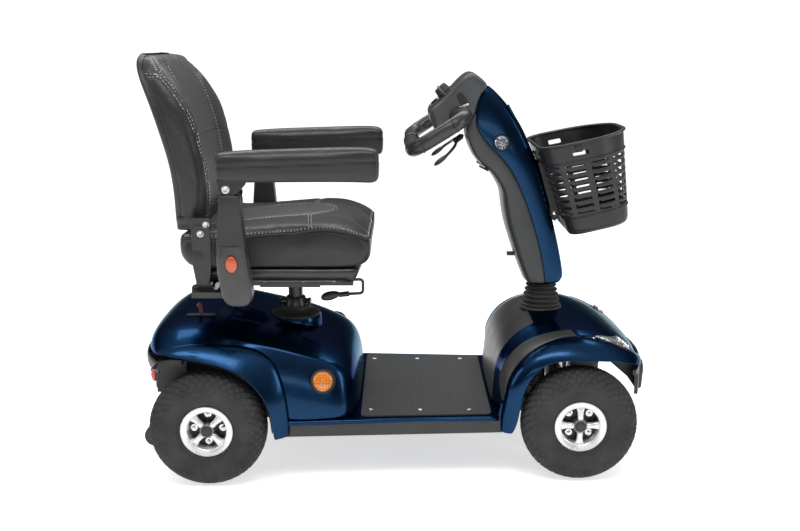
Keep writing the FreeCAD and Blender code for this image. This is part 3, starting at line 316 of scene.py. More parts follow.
class Shader:
    """A Principled material built up from object-space patterns."""

    def __init__(self, name, **constants):
        self.material = bpy.data.materials.new(name)
        self.material.use_nodes = True
        self.tree = self.material.node_tree
        self.bsdf = self.tree.nodes["Principled BSDF"]
        for socket, value in constants.items():
            self.bsdf.inputs[socket.replace("_", " ")].default_value = value
        self.place = self.add("ShaderNodeTexCoord").outputs["Object"]
        self.height = None

    def add(self, kind, **settings):
        item = self.tree.nodes.new(kind)
        for key, value in settings.items():
            setattr(item, key, value)
        return item

    def link(self, source, target):
        self.tree.links.new(source, target)

    def noise(self, scale, detail=4.0, rough=0.55, stretch=None):
        item = self.add("ShaderNodeTexNoise")
        item.inputs["Scale"].default_value = scale
        item.inputs["Detail"].default_value = detail
        item.inputs["Roughness"].default_value = rough
        self.link(self.stretched(stretch), item.inputs["Vector"])
        return item.outputs["Fac"]

    def cells(self, scale, feature="F1", randomness=1.0, stretch=None, colour=False):
        item = self.add("ShaderNodeTexVoronoi", feature=feature)
        item.inputs["Scale"].default_value = scale
        item.inputs["Randomness"].default_value = randomness
        self.link(self.stretched(stretch), item.inputs["Vector"])
        return item.outputs["Color" if colour else "Distance"]

    def stretched(self, stretch):
        if stretch is None:
            return self.place
        item = self.add("ShaderNodeMapping")
        item.inputs["Scale"].default_value = stretch
        self.link(self.place, item.inputs["Vector"])
        return item.outputs["Vector"]

    def spread(self, value, low, high, out_low, out_high):
        item = self.add("ShaderNodeMapRange")
        for key, number in zip(("From Min", "From Max", "To Min", "To Max"), (low, high, out_low, out_high)):
            item.inputs[key].default_value = number
        self.link(value, item.inputs["Value"])
        return item.outputs["Result"]

    def ramp(self, value, stops):
        item = self.add("ShaderNodeValToRGB")
        fill_ramp(item, stops)
        self.link(value, item.inputs["Fac"])
        return item.outputs["Color"]

    def paint(self, value, stops):
        self.link(self.ramp(value, stops), self.bsdf.inputs["Base Color"])
        return self

    def roughen(self, value, low, high):
        self.link(self.spread(value, 0.3, 0.7, low, high), self.bsdf.inputs["Roughness"])
        return self

    def bump(self, value, strength, distance_mm):
        item = self.add("ShaderNodeBump")
        item.inputs["Strength"].default_value = strength
        item.inputs["Distance"].default_value = distance_mm * MM
        self.link(value, item.inputs["Height"])
        if self.height is not None:
            self.link(self.height, item.inputs["Normal"])
        self.height = item.outputs["Normal"]
        self.link(self.height, self.bsdf.inputs["Normal"])
        return self


def metallic_paint():
    s = Shader("blue_metallic", Metallic=0.96, Roughness=0.24, Specular_Tint=(0.16, 0.38, 0.52, 1.0), Coat_Weight=0.1,
               Coat_Roughness=0.03)
    flakes = s.cells(2600, colour=True)
    tone = s.add("ShaderNodeSeparateColor")
    s.link(flakes, tone.inputs["Color"])
    s.paint(tone.outputs["Red"], [(0.0, (0.0035, 0.017, 0.046)), (0.55, (0.0065, 0.03, 0.08)),
                                  (1.0, (0.015, 0.056, 0.135))])
    s.roughen(s.noise(30), 0.2, 0.27)
    return s.bump(s.noise(55, 2.0), 0.03, 0.3).material


def moulded_plastic(name, dark, light, rough, grain=900, strength=0.12, **extra):
    s = Shader(name, Roughness=rough, **extra)
    s.paint(s.noise(14, 5.0), [(0.3, dark), (0.7, light)])
    s.roughen(s.noise(40), rough - 0.05, rough + 0.06)
    s.bump(s.cells(grain), strength, 0.12)
    return s.material


def leatherette(name, dark, light, rough=0.42):
    """Vinyl with a fine pebbled grain and soft creases."""
    s = Shader(name, Roughness=rough, Sheen_Weight=0.06, Sheen_Roughness=0.5, Specular_IOR_Level=0.45)
    s.paint(s.noise(9, 6.0), [(0.25, dark), (0.75, light)])
    s.roughen(s.noise(120, 3.0), rough - 0.06, rough + 0.08)
    s.bump(s.noise(38, 4.0), 0.10, 1.6)
    s.bump(s.cells(620, "DISTANCE_TO_EDGE"), 0.35, 0.18)
    return s.material


def tyre_rubber():
    s = Shader("tyre_charcoal", Roughness=0.78, Specular_IOR_Level=0.35)
    s.paint(s.noise(22, 6.0), [(0.3, (0.022, 0.023, 0.024)), (0.7, (0.04, 0.041, 0.042))])
    s.roughen(s.noise(60), 0.7, 0.88)
    s.bump(s.noise(700, 3.0), 0.2, 0.25)
    return s.material


def soft_rubber(name="soft_rubber"):
    s = Shader(name, Roughness=0.6)
    s.paint(s.noise(25, 5.0), [(0.3, (0.016, 0.015, 0.015)), (0.7, (0.035, 0.033, 0.032))])
    s.roughen(s.noise(80), 0.5, 0.7)
    s.bump(s.noise(420, 3.0), 0.15, 0.2)
    return s.material


def mat_rubber():
    """Floor mat with a fine moulded dimple pattern."""
    s = Shader("mat_dimpled", Roughness=0.66, Specular_IOR_Level=0.4)
    s.paint(s.noise(180, 4.0), [(0.3, (0.03, 0.031, 0.032)), (0.7, (0.062, 0.064, 0.066))])
    s.bump(s.cells(420, randomness=0.25), 0.5, 0.5)
    return s.bump(s.noise(900, 2.0), 0.15, 0.15).material


def silver_paint():
    s = Shader("silver_rim", Metallic=0.55, Roughness=0.3, Coat_Weight=0.4, Coat_Roughness=0.1)
    s.paint(s.noise(35, 5.0), [(0.3, (0.70, 0.71, 0.72)), (0.7, (0.80, 0.81, 0.82))])
    s.roughen(s.noise(50), 0.24, 0.34)
    return s.bump(s.noise(500, 2.0), 0.05, 0.1).material


def machined_steel(name, low, high, rough=0.3):
    s = Shader(name, Metallic=1.0, Roughness=rough)
    s.paint(s.noise(60, 6.0), [(0.3, (low,) * 3), (0.7, (high,) * 3)])
    s.roughen(s.noise(90, 4.0, stretch=(1, 1, 12)), rough - 0.08, rough + 0.1)
    return s.bump(s.noise(700, 2.0), 0.06, 0.1).material


def black_paint(name="black_powder", rough=0.38):
    s = Shader(name, Roughness=rough, Coat_Weight=0.25, Coat_Roughness=0.2)
    s.paint(s.noise(30, 5.0), [(0.3, (0.008, 0.008, 0.009)), (0.7, (0.018, 0.018, 0.019))])
    s.roughen(s.noise(45), rough - 0.06, rough + 0.08)
    return s.bump(s.noise(850, 2.0), 0.12, 0.12).material


def lens(name, dark, light, rough=0.12, glow=0.0, cells=260, transmission=0.25):
    """Moulded lens with small prisms behind a clear face."""
    s = Shader(name, Roughness=rough, Transmission_Weight=transmission, Coat_Weight=1.0,
               Coat_Roughness=0.03, IOR=1.49, Emission_Strength=glow)
    s.bsdf.inputs["Emission Color"].default_value = (*light, 1)
    s.paint(s.cells(cells, randomness=0.15), [(0.0, dark), (0.6, light)])
    return s.bump(s.cells(cells, randomness=0.15), 0.6, 0.8).material


def clear_cover():
    s = Shader("clear_cover", Roughness=0.04, Transmission_Weight=0.95, IOR=1.46, Coat_Weight=0.6)
    s.paint(s.noise(20), [(0.3, (0.93, 0.95, 0.97)), (0.7, (0.98, 0.99, 1.0))])
    return s.bump(s.noise(12), 0.05, 0.5).material


def thread():
    s = Shader("stitch_thread", Roughness=0.75, Sheen_Weight=0.3)
    s.paint(s.noise(300, 3.0), [(0.3, (0.5, 0.51, 0.52)), (0.7, (0.7, 0.71, 0.72))])
    return s.bump(s.noise(1600, 2.0), 0.4, 0.2).material


def floor_material():
    s = Shader("studio_floor", Roughness=0.9, Specular_IOR_Level=0.1, Emission_Strength=0.62)
    s.bsdf.inputs["Emission Color"].default_value = (1, 1, 1, 1)
    s.paint(s.noise(3, 3.0), [(0.3, (0.88, 0.88, 0.88)), (0.7, (0.9, 0.9, 0.9))])
    return s.bump(s.noise(90, 2.0), 0.02, 0.2).material


M = {
    "blue": metallic_paint(),
    "dark": moulded_plastic("dark_plastic", (0.016, 0.0165, 0.017), (0.026, 0.0265, 0.027), 0.44),
    "black": moulded_plastic("black_plastic", (0.007, 0.007, 0.0075), (0.014, 0.014, 0.015), 0.4),
    "grey": moulded_plastic("grey_plastic", (0.024, 0.026, 0.027), (0.036, 0.038, 0.04), 0.36, strength=0.08),
    "shield": moulded_plastic("shield_plastic", (0.022, 0.021, 0.0205), (0.034, 0.033, 0.032), 0.38, strength=0.08),
    "console": moulded_plastic("console_plastic", (0.04, 0.042, 0.044), (0.056, 0.059, 0.062), 0.34, grain=1200,
                               strength=0.05),
    "arm_cap": moulded_plastic("arm_cap_plastic", (0.034, 0.034, 0.035), (0.052, 0.052, 0.054), 0.33, strength=0.1),
    "grip": moulded_plastic("grip_plastic", (0.018, 0.019, 0.02), (0.028, 0.029, 0.031), 0.34, grain=1200,
                            strength=0.06),
    "silver_edge": moulded_plastic("silver_edge", (0.3, 0.31, 0.32), (0.4, 0.41, 0.42), 0.3, strength=0.04,
                                   Metallic=0.6),
    "vinyl": leatherette("vinyl_black", (0.011, 0.0112, 0.0115), (0.02, 0.0205, 0.021)),
    "vinyl_panel": leatherette("vinyl_panel", (0.03, 0.032, 0.034), (0.046, 0.048, 0.05), 0.46),
    "pad_vinyl": leatherette("vinyl_pad", (0.012, 0.0122, 0.0125), (0.02, 0.0205, 0.021), 0.36),
    "tyre": tyre_rubber(),
    "rubber": soft_rubber(),
    "mat": mat_rubber(),
    "silver": silver_paint(),
    "steel": machined_steel("bright_steel", 0.5, 0.66, 0.36),
    "dull_steel": machined_steel("dull_steel", 0.16, 0.26, 0.42),
    "chrome": machined_steel("chrome_trim", 0.75, 0.85, 0.12),
    "frame": black_paint(),
    "amber": lens("amber_lens", (0.3, 0.06, 0.002), (0.85, 0.25, 0.006), glow=0.03, cells=150),
    "orange": lens("orange_lens", (0.32, 0.035, 0.002), (0.72, 0.1, 0.004), glow=0.03, cells=170),
    "red": lens("red_lens", (0.35, 0.004, 0.004), (0.75, 0.02, 0.015), glow=0.12),
    "lamp": lens("lamp_lens", (0.35, 0.36, 0.38), (0.75, 0.77, 0.8), cells=300, transmission=0.5),
    "clear": clear_cover(),
    "reflector": machined_steel("lamp_reflector", 0.7, 0.9, 0.12),
    "thread": thread(),
    "lever_red": moulded_plastic("lever_red", (0.07, 0.012, 0.006), (0.12, 0.02, 0.01), 0.4),
    "battery": moulded_plastic("battery_case", (0.03, 0.03, 0.033), (0.05, 0.05, 0.055), 0.5),
    "floor": floor_material(),
}


def dress(node, key):
    """Gives a CAD node that stays in view its better material."""
    item = NODES[node]
    if not item.material_slots:
        item.data.materials.append(M[key])
    for place in item.material_slots:
        place.material = M[key]


# ---- Wheels ------------------------------------------------------------------------------

AXLE_Z = 133.0
TREAD_REACH = 63.0       # half the width of the tread, along the tyre's skin
TREAD_DEPTH = 4.6
TREAD_PITCHES = 40
TYRE_STEPS = 560
BEAD_RADIUS = 52.2
WHEELS = (("rear", -419.3, 253.5), ("front", 423.0, 224.5))


def tread_depth(turn, reach):
    """Depth of the tread grooves at a fraction of a turn and a distance across the tyre."""
    if abs(reach) >= TREAD_REACH:
        return 0.0
    a = (turn * TREAD_PITCHES + reach / 22.0) % 1.0
    b = (turn * TREAD_PITCHES - reach / 22.0) % 1.0
    groove = min(a, 1 - a, b, 1 - b)
    wall = min(1.0, max(0.0, (groove - 0.08) / 0.08))
    edge = min(1.0, (TREAD_REACH - abs(reach)) / 3.0)
    return (1 - wall) * TREAD_DEPTH * edge


def tyre_piece(name, centre, side):
    """A block-tread tyre with moulded rings on its walls."""
    key = [(-27, 53), (-31, 56), (-33, 60), (-36, 64), (-37, 66.5), (-39.5, 68), (-41.3, 78), (-42.3, 88),
           (-42.5, 97), (-41.6, 103), (-42.0, 105.5), (-40.4, 110), (-37, 118.5), (-30, 125.5), (-20, 130.2),
           (-10, 132.4), (0, 133)]
    half = spline([(a, b, 0) for a, b in key], 5)
    profile = [(p.x, p.y) for p in half] + [(-p.x, p.y) for p in reversed(half[:-1])]
    reach = [0.0]
    for (a, b), (c, d) in zip(profile, profile[1:]):
        reach.append(reach[-1] + math.hypot(c - a, d - b))
    middle = reach[len(half) - 1]

    def on_tyre(turn, along, radius):
        angle = 2 * math.pi * turn / TYRE_STEPS
        return (centre[0] + math.cos(angle) * radius, centre[1] + along * side,
                centre[2] + math.sin(angle) * radius)

    rows = [[on_tyre(turn, along, radius - tread_depth(turn / TYRE_STEPS, offset - middle))
             for turn in range(TYRE_STEPS)] for (along, radius), offset in zip(profile, reach)]
    rows += [[on_tyre(turn, along, BEAD_RADIUS) for turn in range(TYRE_STEPS)] for along in (27, -27)]
    return grid_piece(name, rows, M["tyre"], closed_rows=True, closed_columns=True)


def spoke_piece(name, centre, side, angle):
    """One wheel spoke: narrow at the hub, flared where it joins the ring."""
    stations = [(12, 7.5, 31, 14), (20, 7.0, 32, 15), (28, 6.6, 31, 14), (36, 8.0, 29.5, 12), (43, 11.5, 28, 10),
                (48, 15.0, 27, 8)]
    rows = []
    for radius, half, face, back in stations:
        ring = []
        for across, out in ((-half, back), (-half, face - 3), (-half + 2.4, face - 0.4), (0, face + 0.5),
                            (half - 2.4, face - 0.4), (half, face - 3), (half, back)):
            x = radius * math.cos(angle) - across * math.sin(angle)
            z = radius * math.sin(angle) + across * math.cos(angle)
            ring.append((centre[0] + x, centre[1] + out * side, centre[2] + z))
        rows.append(ring)
    piece = grid_piece(name, rows, M["silver"], closed_columns=True, caps=True)
    subdivide(piece, 1)
    return piece


def nut_piece(name, centre, radius, height, axis, material, sides=6):
    """A hexagonal nut with a washer face and a stud end."""
    rows = lathe_rows([(0, radius * 1.5), (1.2, radius * 1.5), (1.4, radius)], centre, axis, 36)
    washer = grid_piece(name + "_washer", rows, material, closed_columns=True, caps=True)
    rows = lathe_rows([(1.4, radius), (height - 1.2, radius), (height, radius * 0.86)], centre, axis, sides)
    body = grid_piece(name + "_body", rows, material, closed_columns=True, caps=True)
    shade_sharp(body, 20)
    rows = lathe_rows([(height - 0.4, radius * 0.5), (height + 2.2, radius * 0.5), (height + 2.8, radius * 0.38)],
                      centre, axis, 20)
    stud = grid_piece(name + "_stud", rows, material, closed_columns=True, caps=True)
    return [shade_sharp(washer), body, shade_sharp(stud)]


def rim_piece(name, centre, side, first_angle):
    """Silver ring, four spokes, dark hub well, wheel nuts and a cap."""
    axis = (0, side, 0)
    ring = [(26, 53), (32, 57.5), (34.5, 59), (35.5, 57.5), (34.6, 54), (33.4, 48), (31.6, 44.6), (29, 43.4),
            (10, 43), (-22, 43), (-22, 46), (-30, 52), (-33, 58), (-31, 58.6), (-26, 52)]
    parts = [lathe_piece(name + "_ring", ring, centre, axis, M["silver"], 96, closed=True)]
    well = [(8, 12), (7, 30), (7, 43.2), (3, 43.2), (3, 12)]
    parts.append(lathe_piece(name + "_well", well, centre, axis, M["black"], 64, closed=True))
    rear_face = [(-12, 12), (-10, 43.2), (-14, 43.2), (-16, 12)]
    parts.append(lathe_piece(name + "_rear", rear_face, centre, axis, M["silver"], 64, closed=True))
    hub = [(-20, 8.2), (-20, 18), (6, 19), (20, 17.5), (29, 16.5), (31, 15), (31.5, 12.5), (29.5, 11.5), (29.5, 8.2)]
    parts.append(lathe_piece(name + "_hub", hub, centre, axis, M["dull_steel"], 48, closed=True))
    cap = [(29.4, 11.6), (31.6, 11.0), (33.2, 9.0), (33.8, 5.0), (33.9, 0.02)]
    parts.append(lathe_piece(name + "_cap", cap, centre, axis, M["dark"], 40))
    for step in range(4):
        angle = first_angle + step * math.pi / 2
        parts.append(spoke_piece("%s_spoke%d" % (name, step), centre, side, angle))
        stud = (centre[0] + 32.5 * math.cos(angle + math.pi / 4), centre[1] + 7 * side,
                centre[2] + 32.5 * math.sin(angle + math.pi / 4))
        parts += nut_piece("%s_nut%d" % (name, step), stud, 5.2, 7, axis, M["chrome"])
    valve = tube_piece(name + "_valve", [(centre[0] + 40, centre[1] + 8 * side, centre[2] + 12),
                                         (centre[0] + 39.5, centre[1] + 20 * side, centre[2] + 11.5),
                                         (centre[0] + 39, centre[1] + 27 * side, centre[2] + 11)], 2.6, M["rubber"])
    parts.append(valve)
    return merge(name, parts)


def make_wheels():
    for end, x, half_track in WHEELS:
        for side, label in SIDES:
            centre = (x, half_track * side, AXLE_Z)
            body = "%s_wheel_%s" % (end, label)
            tyre = tyre_piece("tread_tyre_%s_%s" % (end, label), centre, side)
            finish_piece(tyre, body, ["tyre_%s_%s" % (end, label)])
            first = math.pi / 4 if end == "rear" else 0.0
            rim = rim_piece("spoked_rim_%s_%s" % (end, label), centre, side, first)
            finish_piece(rim, body, ["rim_%s_%s" % (end, label)])
    for side, label in SIDES:
        centre = (-578, 110 * side, 53)
        profile = [(-12, 5.2), (-12, 21), (-11, 24), (-8, 25.8), (8, 25.8), (11, 24), (12, 21), (12, 5.2)]
        tread = lathe_piece("anti_tip_tyre_" + label, profile, centre, (0, 1, 0), M["rubber"], 56, closed=True)
        for turn in range(2):
            face = [(12.1 - 0.1 * turn, 5.2), (12.8, 6), (12.8, 13), (12.1, 14)]
            disc = lathe_piece("anti_tip_hub_%s%d" % (label, turn), face, centre, (0, (1, -1)[turn], 0), M["dark"], 36,
                               closed=True)
            tread = merge("anti_tip_tyre_" + label, [tread, disc])
        finish_piece(tread, "anti_tip_" + label, ["anti_tip_wheel_" + label])


make_wheels()


# ---- Rear cover --------------------------------------------------------------------------

REAR_ROWS = [
    [(-578, 0, 293), (-574, 110, 293), (-566, 170, 294), (-553, 208, 297), (-541, 235, 300), (-531, 252, 304),
     (-524, 265, 307), (-518, 274, 309)],
    [(-576, 0, 312), (-572, 112, 312), (-562, 172, 312), (-547, 212, 313), (-534, 240, 314), (-523, 257, 314),
     (-513, 270, 314), (-503, 279, 311)],
    [(-562, 0, 334), (-558, 114, 334), (-548, 175, 332), (-532, 215, 328), (-517, 244, 324), (-505, 262, 320),
     (-493, 275, 315), (-480, 283, 307)],
    [(-535, 0, 349), (-532, 116, 349), (-523, 178, 346), (-508, 218, 339), (-492, 247, 331), (-479, 266, 323),
     (-466, 278, 315), (-452, 285, 305)],
    [(-500, 0, 357), (-498, 118, 357), (-491, 182, 353), (-478, 221, 344), (-464, 249, 333), (-452, 268, 323),
     (-440, 280, 312), (-426, 286, 300)],
    [(-458, 0, 359), (-457, 120, 359), (-453, 186, 354), (-444, 223, 344), (-434, 250, 331), (-424, 268, 319),
     (-414, 279, 307), (-402, 285, 295)],
    [(-410, 0, 356), (-410, 120, 356), (-408, 188, 350), (-404, 224, 338), (-398, 248, 324), (-392, 264, 311),
     (-386, 274, 299), (-380, 280, 288)],
    [(-360, 0, 346), (-360, 120, 345), (-360, 189, 340), (-359, 224, 328), (-357, 244, 311), (-355, 256, 297),
     (-353, 264, 284), (-351, 269, 270)],
    [(-310, 0, 335), (-310, 120, 334), (-311, 189, 329), (-312, 223, 318), (-313, 238, 297), (-314, 249, 280),
     (-315, 257, 262), (-316, 261, 240)],
    [(-262, 0, 327), (-262, 120, 326), (-262, 188, 320), (-262, 221, 306), (-262, 233, 283), (-262, 246, 250),
     (-262, 255, 205), (-262, 258, 152)],
    [(-215, 0, 316), (-215, 118, 315), (-215, 184, 308), (-215, 218, 292), (-215, 230, 270), (-215, 243, 235),
     (-215, 252, 190), (-215, 256, 146)],
    [(-170, 0, 300), (-170, 115, 298), (-170, 178, 291), (-170, 212, 278), (-170, 224, 258), (-170, 238, 225),
     (-170, 247, 185), (-170, 250, 146)],
    [(-126, 0, 280), (-126, 110, 278), (-127, 170, 272), (-128, 203, 262), (-128, 216, 246), (-128, 229, 216),
     (-128, 239, 182), (-128, 243, 146)],
    [(-100, 0, 258), (-100, 105, 257), (-103, 160, 252), (-106, 192, 243), (-108, 206, 230), (-110, 219, 205),
     (-111, 230, 176), (-112, 235, 146)],
    [(-87, 0, 228), (-87, 100, 227), (-89, 150, 223), (-93, 180, 215), (-95, 194, 202), (-98, 206, 186),
     (-100, 217, 166), (-101, 222, 146)],
    [(-82, 0, 190), (-82, 98, 190), (-84, 146, 188), (-87, 174, 184), (-90, 187, 176), (-92, 198, 168),
     (-95, 208, 156), (-96, 213, 146)],
    [(-79, 0, 149), (-79, 97, 149), (-81, 144, 149), (-85, 172, 149), (-88, 185, 149), (-90, 195, 149),
     (-92, 204, 148), (-93, 209, 146)],
]

# Each row of the rear fender runs from the wheel arch lip up to the crease where it meets the body.
REAR_FENDER = [
    ((-521, 274, 309), (-529, 252, 314)), ((-491, 284, 306), (-500, 256, 324)), ((-460, 287, 302), (-468, 255, 330)),
    ((-430, 289, 297), (-436, 251, 331)), ((-384, 290, 287), (-390, 246, 328)), ((-351, 290, 273), (-348, 238, 322)),
    ((-324, 290, 255), (-315, 231, 315)), ((-305, 290, 234), (-288, 234, 301)), ((-288, 289, 208), (-264, 240, 277)),
    ((-277, 288, 180), (-248, 246, 241)), ((-273, 287, 155), (-239, 252, 200)), ((-270, 286, 132), (-234, 255, 160)),
    ((-269, 286, 111), (-233, 256, 111)),
]


def double_rows(rows):
    """Rows that run right across the scooter from rows that start on its centre line."""
    return [mirror_points(list(reversed(row)))[:-1] + row for row in rows]


def strip_rows(edges, bulge, lip_return, tuck):
    """Five points from a lip's inner return up to a tucked top edge, bulged outwards."""
    rows = []
    count = len(edges)
    for index, (lip, top) in enumerate(edges):
        lip, top = Vector(lip), Vector(top)
        ahead, behind = edges[min(index + 1, count - 1)], edges[max(index - 1, 0)]
        along = (Vector(ahead[0]) + Vector(ahead[1]) - Vector(behind[0]) - Vector(behind[1])).normalized()
        out = along.cross(top - lip).normalized()
        if out.y < 0 or (abs(out.y) < 0.05 and out.x < 0):
            out = -out
        points = [lip + Vector((0, -lip_return, 0)) + (lip - top).normalized() * 1.5, lip]
        for t, lift in ((0.22, 0.7), (0.48, 1.0), (0.72, 0.85), (0.88, 0.45)):
            points.append(lip.lerp(top, t) + out * (bulge * lift))
        points.append(top - out * tuck)
        rows.append([tuple(p) for p in points])
    return rows


def crease_edges(piece, wanted, weight=0.7):
    """Keeps chosen edges of a subdivided piece fairly sharp."""
    work = bmesh.new()
    work.from_mesh(piece.data)
    layer = work.edges.layers.float.get("crease_edge") or work.edges.layers.float.new("crease_edge")
    work.verts.ensure_lookup_table()
    for edge in work.edges:
        if wanted(edge.verts[0].index, edge.verts[1].index):
            edge[layer] = weight
    work.to_mesh(piece.data)
    work.free()


def make_rear_cover():
    rows = double_rows(REAR_ROWS)
    columns = len(rows[0])
    shell = grid_piece("rear_cover_shell", rows, M["blue"])
    ridge = (columns // 2 - 3, columns // 2 + 3)
    first, last = 5, 12

    def on_ridge(a, b):
        same = a % columns == b % columns and a % columns in ridge
        return same and first <= min(a, b) // columns and max(a, b) // columns <= last

    crease_edges(shell, on_ridge, 0.75)
    thicken(shell, 3)
    subdivide(shell, 3)
    parts = [shell]
    for side, label in SIDES:
        strip = strip_rows(REAR_FENDER, 4.0, 16, 3)
        if side < 0:
            strip = [mirror_points(row) for row in strip]
        fender = grid_piece("rear_fender_" + label, strip, M["blue"])
        width = len(strip[0])
        crease_edges(fender, lambda a, b: a % width == 1 and b % width == 1, 0.6)
        thicken(fender, 2.2)
        subdivide(fender, 3)
        parts.append(fender)
    boss = [(0, 66), (10, 64), (20, 62.5), (31, 61.5), (33, 60), (33, 50), (30, 48), (6, 48)]
    parts.append(lathe_piece("rear_post_boss", boss, (SEAT_X, 0, 296), (0, 0, 1), M["blue"], 72, closed=True))
    cover = merge("rear_cover_skin", parts)
    finish_piece(cover, "chassis", ["rear_cover"])


make_rear_cover()


# ---- Bonnet, leg shield and front fenders --------------------------------------------------

BONNET_ROWS = [
    [(228, 0, 148), (228, 75, 148), (231, 140, 148), (238, 172, 148), (246, 212, 148), (248, 222, 148),
     (250, 230, 148)],
    [(230, 0, 186), (230, 75, 186), (233, 140, 186), (240, 172, 186), (248, 214, 186), (249, 222, 186),
     (251, 230, 186)],
    [(232, 0, 212), (232, 75, 212), (235, 140, 212), (240, 172, 211), (242, 206, 210), (248, 218, 210),
     (254, 228, 210)],
    [(237, 0, 247), (237, 75, 247), (239, 140, 245), (243, 172, 241), (241, 202, 236), (249, 215, 235),
     (258, 227, 234)],
    [(247, 0, 281), (247, 75, 280), (249, 140, 276), (252, 170, 268), (251, 198, 264), (262, 212, 263),
     (274, 224, 262)],
    [(269, 0, 312), (269, 75, 311), (271, 138, 306), (273, 168, 298), (268, 195, 291), (279, 209, 287),
     (291, 220, 283)],
    [(296, 0, 334), (296, 75, 333), (298, 134, 328), (300, 164, 320), (296, 193, 314), (306, 206, 309),
     (318, 216, 304)],
    [(323, 0, 347), (323, 75, 346), (325, 130, 341), (328, 160, 334), (330, 190, 329), (339, 202, 324),
     (350, 211, 320)],
    [(360, 0, 351), (360, 75, 350), (362, 126, 347), (365, 156, 342), (367, 184, 337), (373, 195, 333),
     (380, 204, 329)],
    [(400, 0, 350), (400, 75, 348), (401, 122, 346), (403, 150, 343), (406, 176, 339), (410, 186, 335),
     (415, 194, 331)],
    [(445, 0, 344), (445, 72, 343), (446, 116, 340), (447, 142, 337), (449, 166, 333), (453, 176, 329),
     (458, 185, 325)],
    [(488, 0, 330), (488, 66, 329), (489, 108, 326), (490, 132, 323), (492, 153, 319), (496, 163, 315),
     (502, 172, 310)],
    [(525, 0, 311), (525, 58, 310), (525, 96, 308), (526, 117, 305), (528, 136, 302), (532, 145, 297),
     (538, 153, 292)],
    [(556, 0, 289), (556, 48, 288), (556, 80, 287), (556, 98, 285), (557, 113, 282), (560, 121, 278),
     (565, 128, 273)],
    [(579, 0, 267), (578, 38, 267), (577, 62, 266), (576, 78, 264), (576, 90, 262), (577, 98, 259),
     (580, 104, 255)],
    [(584, 0, 252), (583, 36, 252), (582, 58, 251), (581, 74, 250), (581, 86, 249), (582, 94, 247),
     (584, 100, 245)],
]
FRONT_FENDER = [
    ((271, 249, 111), (243, 226, 111)), ((281, 251, 140), (241, 226, 146)), ((286, 252, 172), (248, 226, 184)),
    ((290, 253, 200), (252, 225, 208)), ((299, 254, 228), (256, 223, 232)), ((313, 254, 253), (272, 220, 260)),
    ((331, 254, 271), (289, 216, 281)), ((352, 254, 282), (316, 212, 302)), ((380, 254, 287), (348, 207, 318)),
    ((410, 253, 287), (378, 200, 327)), ((440, 252, 286), (413, 190, 329)), ((475, 248, 284), (456, 181, 323)),
    ((510, 238, 279), (500, 168, 308)), ((542, 219, 269), (536, 149, 290)), ((566, 187, 256), (561, 124, 271)),
    ((581, 147, 246), (575, 100, 254)), ((589, 85, 240), (581, 58, 248)), ((591, 0, 238), (582, 0, 247)),
]
SHIELD_ROWS = 7
BAND_ROWS = (1, 9)


def paint_faces(piece, columns, choose):
    """Gives a grid's faces material indices from their row and column."""
    for index, face in enumerate(piece.data.polygons):
        face.material_index = choose(index // (columns - 1), index % (columns - 1))


def make_bonnet():
    rows = double_rows(BONNET_ROWS)
    columns = len(rows[0])
    centre = columns // 2
    shell = grid_piece("bonnet_shell", rows, M["blue"])
    shell.data.materials.append(M["shield"])

    def material_of(row, col):
        away = min(abs(col - centre), abs(col + 1 - centre))
        if row < SHIELD_ROWS and away < 2:
            return 1
        if BAND_ROWS[0] <= row < BAND_ROWS[1] and away in (4, 5):
            return 1
        return 0

    paint_faces(shell, columns, material_of)

    def sharp(a, b):
        if a % columns != b % columns:
            return False
        away = abs(a % columns - centre)
        row = max(a, b) // columns
        return (away == 2 and row <= SHIELD_ROWS) or (away == 4 and row <= 12)

    crease_edges(shell, sharp, 0.85)
    thicken(shell, 3)
    subdivide(shell, 3)
    parts = [shell]
    strip = strip_rows(FRONT_FENDER, 9.0, 14, 2.5)
    full = [mirror_points(row) for row in strip] + list(reversed(strip))[1:]
    fender = grid_piece("front_fender", full, M["blue"])
    width = len(strip[0])
    crease_edges(fender, lambda a, b: a % width == 1 and b % width == 1, 0.6)
    thicken(fender, 2.2)
    subdivide(fender, 3)
    parts.append(fender)
    cover = merge("bonnet_skin", parts)
    finish_piece(cover, "chassis", ["front_cover", "leg_shield", "front_trims"])


make_bonnet()


# ---- Tiller ------------------------------------------------------------------------------

# (split x, split z, front x, front z, half width at the split, half width at the nose)
TILLER_FRONT = [
    (200, 872, 221, 884, 47, 30), (189, 845, 252, 854, 54, 34), (187, 812, 280, 816, 59, 38),
    (193, 786, 299, 785, 61, 40), (210, 763, 314, 752, 62, 41), (231, 739, 327, 725, 62, 42),
    (258, 712, 340, 695, 61, 42), (279, 684, 351, 662, 60, 41), (295, 652, 361, 627, 59, 41),
    (314, 607, 372, 587, 58, 40), (331, 559, 385, 540, 57, 40), (345, 511, 396, 494, 56, 40),
    (356, 463, 405, 449, 55, 39), (360, 436, 408, 430, 54, 38), (363, 416, 398, 417, 53, 36),
]
# (split x, split z, rear x, rear z, half width at the split, half width at the rear)
TILLER_REAR = [
    (192, 822, 169, 814, 58, 44), (187, 800, 166, 788, 60, 46), (196, 779, 168, 768, 60, 46),
    (212, 758, 174, 748, 60, 46), (232, 736, 184, 727, 60, 46), (258, 710, 198, 706, 60, 45),
    (279, 682, 222, 690, 59, 42), (295, 650, 243, 660, 58, 38), (305, 628, 255, 634, 57, 34),
    (316, 601, 257, 601, 56, 33), (332, 554, 267, 554, 55, 32), (345, 510, 282, 510, 54, 32),
    (356, 462, 298, 463, 53, 32), (363, 415, 318, 416, 51, 32),
]


